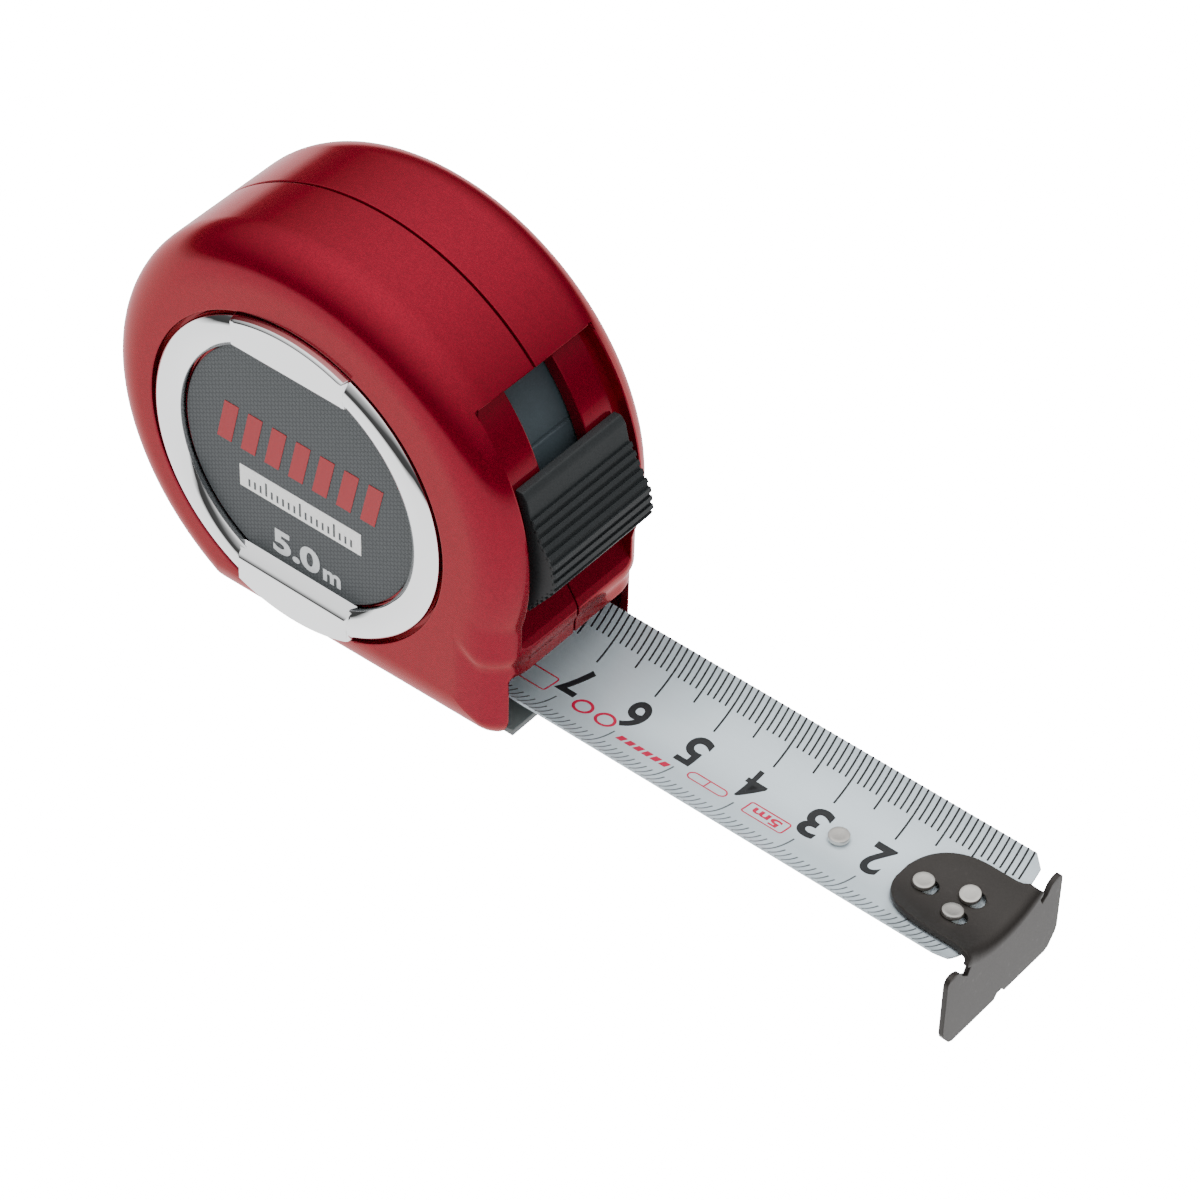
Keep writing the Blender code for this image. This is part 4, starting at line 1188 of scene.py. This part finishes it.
class TAPE_OT_blade(bpy.types.Operator):
    """Hollow enamelled blade with its bare edges"""
    bl_idname = "tape.blade"
    bl_label = "Blade"

    def execute(self, context):
        rows = []
        stations = [BLADE_END * step / 110 for step in range(110)]
        stations += [BLADE_END - 1.6, BLADE_END - 0.8, BLADE_END]
        for x in sorted(stations):
            corner = max(0.0, x - BLADE_END + 1.6)
            rows.append(blade_row(x, BLADE_W / 2 - corner, 32))
        strip = slab(rows, BLADE_T)
        for face in strip.polygons:
            flank = abs(face.normal.z) < 0.62 and abs(face.center.y) > 9.5
            face.material_index = int(flank and face.area < 0.6 or abs(face.normal.x) > 0.6)
        ride_blade(show("blade_strip", strip, ("enamel", "edge"), "case", ("blade",), weighted=False))
        return {"FINISHED"}


class TAPE_OT_scale(bpy.types.Operator):
    """Millimetre marks on both edges, centimetre digits and small plain red marks"""
    bl_idname = "tape.scale"
    bl_label = "Scale"

    def execute(self, context):
        blade = context.scene.tape_blade
        tree = scale_tree()
        common = {
            "First mark": 3, "Last mark": blade.last_mark, "Zero": ZERO_X, "Pitch": 1.0, "Ink depth": 0.05,
            "Hollow radius": CURVE_R - BLADE_T, "Hollow height": CURVE_Z, "Edge": BLADE_W / 2 - MARK_EDGE,
        }
        far = {"Line width": 0.27, "Short": 4.2, "Middle": 6.0, "Long": 8.1, "Side": 1.0}
        near = {"Line width": 0.21, "Short": 4.6, "Middle": 4.6, "Long": 8.1, "Side": -1.0}
        for name, ink_name, own in (("far_scale", "black_ink", far), ("near_scale", "soft_ink", near)):
            bm = from_mesh(run_tree(tree, {**common, **own, "Finish": FINISHES[ink_name]}))
            ride_blade(show(name, to_mesh(bm, 1e-5), (ink_name,), "case", weighted=False))
        digits = []
        tall = blade.digit_height / MM
        row = 0.05  # how far the digits' middle line is from the blade's
        for number in range(1, 8):
            x = ZERO_X - 10 * number
            wide = 1.5 if number == 1 else 3.2
            low, high = (x - wide / 2, row - tall / 2), (x + wide / 2, row + tall / 2)
            bold = 0.08 if number == 4 else 0.22  # the 4 is drawn lighter, as its strokes lie close
            bm = fit_letters(str(number), low, high, bold, PRINT_LOW, PRINT_HIGH)
            digits.append(hollow_print(half_turned(bm, (x, row))))
        ride_blade(show("blade_digits", merged(digits), ("black_ink",), "case", weighted=False))
        line = 0.22
        length = fit_letters("5m", (68.2, -4.4), (72.7, -2.7), 0.25, PRINT_LOW, PRINT_HIGH)
        marks = [
            flat_print(frame_outlines((67.1, -5.0), (73.8, -2.1), line, 0.5)),
            flat_print(frame_outlines((57.7, -4.8), (64.1, -2.9), line, 0.95)),
            flat_print([[(60.75, -4.7), (60.95, -4.7), (60.95, -3.0), (60.75, -3.0)]]),
            flat_print(frame_outlines((28.4, -4.7), (33.7, -1.0), line, 0.5)),
            half_turned(length, (70.45, -3.55)),
        ]
        for x in (39.4, 43.2):
            marks.append(flat_print([arc((x, -3.3), radius, 0, 360, 40)[:-1] for radius in (1.55, 1.1)]))
        for bar in range(6):
            x = 46.6 + bar * 1.45
            marks.append(flat_print([[(x, -5.5), (x + 1.0, -5.5), (x + 1.3, -4.3), (x + 0.3, -4.3)]]))
        marks = merged([hollow_print(bm) for bm in marks])
        ride_blade(show("blade_red_marks", marks, ("print_red",), "case", weighted=False))
        return {"FINISHED"}


# ---------------------------------------------------------------- hook

def tongue_top(y):
    """Height of the tongue's upper face, which follows the blade's hollow."""
    top = CURVE_R - BLADE_T - CLEAR - HOOK_T
    return CURVE_Z - math.sqrt(top * top - y * y)


def hook_tongue(bend):
    """Rounded tongue in the blade's hollow that turns down into the plate."""
    tip = ZERO_X - TONGUE_L
    start = HOOK_FACE - bend
    rows = []
    steps, across = 26, 16
    for step in range(steps + 1):
        share = max(0.004, (step / steps) ** 1.5)
        x = tip + (start - tip) * share
        rounded = 1 - max(0.0, 1 - (x - tip) / 9.5) ** 2.3
        flare = max(0.0, (x - start + 1.8) / 1.8) ** 2 * 0.5
        rows.append((x, 0.0, (0.0, 1.0), TONGUE_HALF_W * rounded ** (1 / 2.3) + flare))
    for step in range(1, 9):
        turn = math.radians(90 * step / 8)
        wide = TONGUE_HALF_W + 0.5 + 0.9 * (step / 8) ** 2
        out = (math.sin(turn), math.cos(turn))
        rows.append((start + bend * out[0], bend * (1 - out[1]), out, wide))
    rows.append((HOOK_FACE, bend + 0.5, (1.0, 0.0), TONGUE_HALF_W + 1.2))
    grid = []
    for x, drop, (out_x, out_z), half in rows:
        line = []
        for step in range(across + 1):
            y = half * (2 * step / across - 1)
            lean = math.asin(y / (CURVE_R - BLADE_T - CLEAR - HOOK_T)) * out_z
            out = Vector((out_x, -math.sin(lean) * out_z, math.cos(lean) * out_z)).normalized()
            line.append(((x, y, tongue_top(y) - drop), out))
        grid.append(line)
    return slab(grid, HOOK_T)


def hook_body():
    bend = 1.7
    neck = []
    for step in range(17):
        y = (TONGUE_HALF_W + 0.6) * (1 - step / 8)
        neck.append((y, tongue_top(y) - bend - 0.25))
    half = [
        (TONGUE_HALF_W + 1.2, TROUGH_Z + 0.15), (TONGUE_HALF_W + 2.2, TROUGH_Z + 0.9),
        (PLATE_HALF - 2.6, PLATE_TOP - 0.5), (PLATE_HALF - 1.5, PLATE_TOP),
        (PLATE_HALF - 0.6, PLATE_TOP - 0.1), (PLATE_HALF - 0.1, PLATE_TOP - 0.7),
        (PLATE_HALF, PLATE_TOP - 1.6),
        (PLATE_HALF, PLATE_BOTTOM + 3.2), (PLATE_HALF - 0.25, PLATE_BOTTOM + 2.3),
        (PLATE_HALF - 1.6, PLATE_BOTTOM + 0.4), (PLATE_HALF - 2.4, PLATE_BOTTOM),
    ]
    notch = PLATE_BOTTOM + 0.8
    bottom = [(-1.0, PLATE_BOTTOM), (-0.4, notch), (0.8, notch), (1.2, PLATE_BOTTOM)]
    outline = neck + [(-y, z) for y, z in half] + bottom + half[::-1]
    plate = filled([outline], ZERO_X, HOOK_FACE, FRONT)
    steps = [(hook_tongue(bend), "UNION")]
    for back, side in RIVETS:
        lean = math.asin(side / CURVE_R)
        outline = arc((RIVET_PLAY, 0), RIVET_SLOT_R, -90, 90, 10) + arc((0, 0), RIVET_SLOT_R, 90, 270, 10)
        slot = filled([outline], -2.0, 2.0)
        low = Matrix.Translation((0, 0, CLEAR + BLADE_T - CURVE_R))
        place = Matrix.Translation((ZERO_X - back, 0, CURVE_Z))
        slot.transform(place @ Matrix.Rotation(lean, 4, "X") @ low)
        steps.append((slot, "DIFFERENCE"))
    return soften(combine(plate, steps), 0.14, angle=40)


def rivet_body(tall):
    """Flat-headed rivet with a faint dish, a shank and a peened tail, hung below the hollow's centre."""
    top = CURVE_R - BLADE_T - CLEAR - tall
    tail = CURVE_R + 0.55
    profile = [
        (0, -top + 0.52), (0.9, -top + 0.55), (1.25, -top + 0.6), (1.42, -top + 0.55), (1.5, -top + 0.42),
        (1.5, -top + 0.03), (1.46, -top), (1.0, -top), (1.0, -tail + 0.35), (1.32, -tail + 0.3),
        (1.4, -tail + 0.18), (1.2, -tail + 0.04), (0, -tail),
    ]
    return turned(profile, 36, (0, 0, 0), Matrix.Rotation(math.radians(90), 4, "X"))


class TAPE_OT_hook(bpy.types.Operator):
    """Slotted end hook and the rivets that it slides on"""
    bl_idname = "tape.hook"
    bl_label = "End hook"

    def execute(self, context):
        show("hook_bent_steel", hook_body(), ("hook",), "hook", ("end_hook",))
        spots = []
        for back, side in RIVETS:
            spots.append(((ZERO_X - back, 0.0, CURVE_Z), (math.asin(side / CURVE_R), 0.0, 0.0), 1.0))
        rivets = set_out(rivet_body(HOOK_T + 0.15), spots, "nickel")
        names = [f"hook_rivet_{number}" for number in range(1, 4)]
        show("hook_rivets", rivets, ("nickel",), "blade", names)
        spot = ((ZERO_X - STOP_RIVET, 0.0, CURVE_Z), (0.0, 0.0, 0.0), 1.0)
        stop = set_out(rivet_body(0.0), [spot], "nickel")
        show("stop_rivet_head", stop, ("nickel",), "blade", ("stop_rivet",))
        return {"FINISHED"}


# ---------------------------------------------------------------- clip, screws and inner parts

def clip_body():
    """Bent spring strip: pad, turn at the top, arm and flared end, with rounded ends."""
    thick, wide = 1.0, reach("belt_clip", 1, 0)
    near = reach("belt_clip", 0, 1)
    gap = 4.6
    bend = gap / 2 + thick
    centre_y = near + bend
    bend_z = reach("belt_clip", 1, 2) - bend
    arm_y = centre_y + bend
    low_z = reach("belt_clip", 0, 2)
    path = [(near, AXIS_Z - 9.2 + step * 0.5, -1.0, 0.0) for step in range(0, 12)]
    path.append((near, bend_z - 1.0, -1.0, 0.0))
    for step in range(0, 25):
        turn = math.radians(180 - 180 * step / 24)
        out_y, out_z = math.cos(turn), math.sin(turn)
        path.append((centre_y + bend * out_y, bend_z + bend * out_z, out_y, out_z))
    arm = [bend_z - step * 2.5 for step in range(1, 17)]
    path += [(arm_y, z, 1.0, 0.0) for z in arm if z > low_z + 7]
    flare = reach("belt_clip", 1, 1) - arm_y
    flare_l, power = 6.5, 2.2
    for step in range(0, 13):
        share = step / 12
        slope = math.atan2(flare * power * share ** (power - 1), flare_l)
        y, z = arm_y + flare * share ** power, low_z + flare_l * (1 - share)
        path.append((y, z, math.cos(slope), math.sin(slope)))
    rows = []
    lengths = [0.0]
    for (y0, z0, _, _), (y1, z1, _, _) in zip(path, path[1:]):
        lengths.append(lengths[-1] + math.hypot(y1 - y0, z1 - z0))
    corner = 4.0
    for (y, z, out_y, out_z), length in zip(path, lengths):
        from_end = max(min(length, lengths[-1] - length), 0.02)
        half = wide
        if from_end < corner:
            half = wide - corner + math.sqrt(corner ** 2 - (corner - from_end) ** 2)
        row = []
        for step in range(13):
            row.append(((half * (2 * step / 12 - 1), y, z), (0.0, out_y, out_z)))
        rows.append(row)
    strip = slab(rows, thick)
    bore = turned(rod(CLIP_HOLE, near - 1, near + thick + 1), 36, (0, 0, AXIS_Z))
    return soften(combine(strip, [(bore, "DIFFERENCE")]), 0.15, angle=45)


def screw_body(radius, head, tall, length):
    """Pan-head screw with a cross recess and a threaded shank; its head's seat is at Y = 0."""
    profile = [
        (0, tall), (head * 0.45, tall - 0.03), (head * 0.75, tall - 0.15), (head * 0.93, tall * 0.6),
        (head, tall * 0.3), (head, 0.06), (head - 0.06, 0), (radius, 0),
    ]
    pitch = 0.7
    turns = int((length - 1.4) / pitch)
    for turn in range(turns):
        y = -0.6 - turn * pitch
        profile += [(radius, y), (radius - 0.22, y - pitch * 0.35), (radius - 0.22, y - pitch * 0.6)]
    profile += [(radius * 0.8, -length + 0.4), (0, -length)]
    body = turned(profile, 36)
    long, thin = head * 0.55, head * 0.14
    depth = tall * 0.4
    cross = [
        (long, -thin), (long, thin), (thin, thin), (thin, long), (-thin, long), (-thin, thin),
        (-long, thin), (-long, -thin), (-thin, -thin), (-thin, -long), (thin, -long), (thin, -thin),
    ]
    return combine(body, [(filled([cross], depth, tall + 1, SIDE), "DIFFERENCE")])


class TAPE_OT_fasteners(bpy.types.Operator):
    """Belt clip, its screw and the four case screws"""
    bl_idname = "tape.fasteners"
    bl_label = "Clip and screws"

    def execute(self, context):
        show("clip_strip", clip_body(), ("clip",), "case", ("belt_clip",))
        seat = HALF_W - WELL_DEPTH + CLEAR
        body = screw_body(radius=0.9, head=2.1, tall=1.4, length=seat + 8.0)
        spots = []
        for number, (x, z) in enumerate(boss_places()):
            spots.append(((x, seat, z), (0.0, 0.35 * number, 0.0), 1.0))
        names = [f"case_screw_{number}" for number in range(1, 5)]
        show("case_screws", set_out(body, spots, "zinc"), ("zinc",), "case", names)
        seat = HALF_W + CLEAR + 1.0 + CLEAR
        length = seat - (CAVITY_HALF_W - CLEAR - 6.0)
        body = screw_body(radius=1.4, head=3.2, tall=1.3, length=length)
        holder = set_out(body, [((0.0, seat, AXIS_Z), (0.0, 0.6, 0.0), 1.0)], "zinc")
        show("clip_holding_screw", holder, ("zinc",), "case", ("clip_screw",))
        return {"FINISHED"}


class TAPE_OT_reel(bpy.types.Operator):
    """Finishes of the reel, its spring and the other parts inside the case"""
    bl_idname = "tape.reel"
    bl_label = "Reel and inner parts"

    def execute(self, context):
        inner = {
            "blade_coil": "enamel", "reel_drum": "reel", "drum_cover": "reel", "centre_post": "reel",
            "power_spring": "spring", "lock_spring": "spring", "brake_pad": "rubber",
            "liner_left": "film", "liner_right": "film",
        }
        for node, finish in inner.items():
            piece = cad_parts[node]
            for slot in piece.material_slots:
                slot.link = "OBJECT"
                slot.material = FINISHES[finish]
        return {"FINISHED"}


# ---------------------------------------------------------------- stage

def area_light(name, place, aim, size, power):
    light = bpy.data.lights.new(name, "AREA")
    light.shape = "RECTANGLE"
    light.size, light.size_y = size
    light.energy = power
    lamp = bpy.data.objects.new(name, light)
    lamp.location = place
    lamp.rotation_euler = (Vector(place) - Vector(aim)).to_track_quat("Z", "Y").to_euler()
    lamp.visible_glossy = False
    bpy.context.scene.collection.objects.link(lamp)


def soft_room(scene):
    """A pale room that is brighter below and overhead than at the height of the horizon."""
    world = bpy.data.worlds.new("soft_room")
    scene.world = world
    world.use_nodes = True
    tree = world.node_tree
    way = tree.nodes.new("ShaderNodeTexCoord")
    parts = tree.nodes.new("ShaderNodeSeparateXYZ")
    ramp = tree.nodes.new("ShaderNodeMapRange")
    tones = tree.nodes.new("ShaderNodeValToRGB")
    ramp.inputs["From Min"].default_value = -1.0
    tree.links.new(way.outputs["Generated"], parts.inputs[0])
    tree.links.new(parts.outputs["Z"], ramp.inputs["Value"])
    tree.links.new(ramp.outputs[0], tones.inputs[0])
    stops = ((0.0, 1.9), (0.42, 1.7), (0.49, 0.05), (0.60, 0.08), (0.74, 0.60), (1.0, 1.7))
    elements = tones.color_ramp.elements
    while len(elements) < len(stops):
        elements.new(0.5)
    for element, (position, tone) in zip(elements, stops):
        element.position = position
        element.color = (tone, tone, tone, 1.0)
    tree.links.new(tones.outputs[0], tree.nodes["Background"].inputs["Color"])
    tree.nodes["Background"].inputs["Strength"].default_value = 1.0


class TAPE_OT_stage(bpy.types.Operator):
    """Pale floor, soft lights and the camera"""
    bl_idname = "tape.stage"
    bl_label = "Stage"

    def execute(self, context):
        stage = context.scene.tape_stage
        low, high = CAD_BOX
        centre = Vector([(a + b) / 2 for a, b in zip(low, high)])
        floor_finish = Finish("floor_pale", stage.floor_colour, 0.0, 0.9)
        floor_finish.put("Base Color", floor_finish.shade(floor_finish.noise(0.02, 3.0), 0.99, 1.01))
        floor_finish.put("Emission Color", (1.0, 1.0, 1.0, 1.0))
        floor_finish.put("Emission Strength", FLOOR_GLOW)
        bm = bmesh.new()
        bmesh.ops.create_grid(bm, x_segments=8, y_segments=8, size=FLOOR_HALF)
        bmesh.ops.translate(bm, vec=(centre.x, centre.y, -FLOOR_DROP), verts=bm.verts)
        mesh = bpy.data.meshes.new("floor")
        bm.to_mesh(mesh)
        bm.free()
        mesh.materials.append(floor_finish.material)
        floor = carry(mesh, "floor")
        floor.visible_glossy = False
        floor.visible_diffuse = False
        soft_room(context.scene)
        for name, away, size, power in (
            ("key", (-0.3, 0.4, 1.2), (1.6, 1.6), 38.0),
            ("side", (0.75, -0.35, 0.45), (0.35, 0.6), 4.0),
            ("badge_fill", (-0.55, -0.8, 0.35), (0.5, 0.4), 4.0),
        ):
            area_light(name, centre + Vector(away), centre, size, power)
        back = Vector((
            math.sin(stage.azimuth) * math.cos(stage.elevation),
            -math.cos(stage.azimuth) * math.cos(stage.elevation), math.sin(stage.elevation),
        ))
        level = Vector((math.cos(stage.azimuth), math.sin(stage.azimuth), 0.0))
        upright = back.cross(level)
        right = level * math.cos(stage.roll) + upright * math.sin(stage.roll)
        up = upright * math.cos(stage.roll) - level * math.sin(stage.roll)
        aim = ORIGIN + Vector(AIM) * MM
        camera = bpy.data.objects.new("camera", bpy.data.cameras.new("camera"))
        camera.data.sensor_width = 36.0
        camera.data.lens = stage.lens
        camera.data.clip_start = 0.01
        turn = Matrix((right, up, back)).transposed().to_4x4()
        camera.matrix_world = Matrix.Translation(aim + back * stage.distance) @ turn
        context.scene.collection.objects.link(camera)
        context.scene.camera = camera
        return {"FINISHED"}


# ---------------------------------------------------------------- add-on

GROUPS = {
    "tape_case": TapeCaseSettings, "tape_blade": TapeBladeSettings,
    "tape_fittings": TapeFittingSettings, "tape_stage": TapeStageSettings,
}
OPERATORS = (
    TAPE_OT_case, TAPE_OT_bumper, TAPE_OT_badge, TAPE_OT_lock, TAPE_OT_blade, TAPE_OT_scale,
    TAPE_OT_hook, TAPE_OT_fasteners, TAPE_OT_reel, TAPE_OT_stage,
)


class TAPE_PT_sidebar(bpy.types.Panel):
    """Lists the tape measure's sizes, colours and building steps"""
    bl_idname = "TAPE_PT_sidebar"
    bl_label = "Tape measure"
    bl_space_type = "VIEW_3D"
    bl_region_type = "UI"
    bl_category = "Tape measure"

    def draw(self, context):
        layout = self.layout
        for group in GROUPS:
            settings = getattr(context.scene, group)
            for name in settings.__annotations__:
                layout.prop(settings, name)
        for operator in OPERATORS:
            layout.operator(operator.bl_idname)


CLASSES = (*GROUPS.values(), *OPERATORS, TAPE_PT_sidebar)


def register():
    for kind in CLASSES:
        bpy.utils.register_class(kind)
    for group, kind in GROUPS.items():
        setattr(bpy.types.Scene, group, bpy.props.PointerProperty(type=kind))


def unregister():
    for group in GROUPS:
        delattr(bpy.types.Scene, group)
    for kind in reversed(CLASSES):
        bpy.utils.unregister_class(kind)


def main():
    register()
    scene = bpy.context.scene
    make_finishes(scene.tape_case, scene.tape_blade, scene.tape_fittings)
    for step in (
        bpy.ops.tape.case, bpy.ops.tape.bumper, bpy.ops.tape.badge, bpy.ops.tape.lock, bpy.ops.tape.blade,
        bpy.ops.tape.scale, bpy.ops.tape.hook, bpy.ops.tape.fasteners, bpy.ops.tape.reel, bpy.ops.tape.stage,
    ):
        step()


if __name__ == "__main__":
    main()
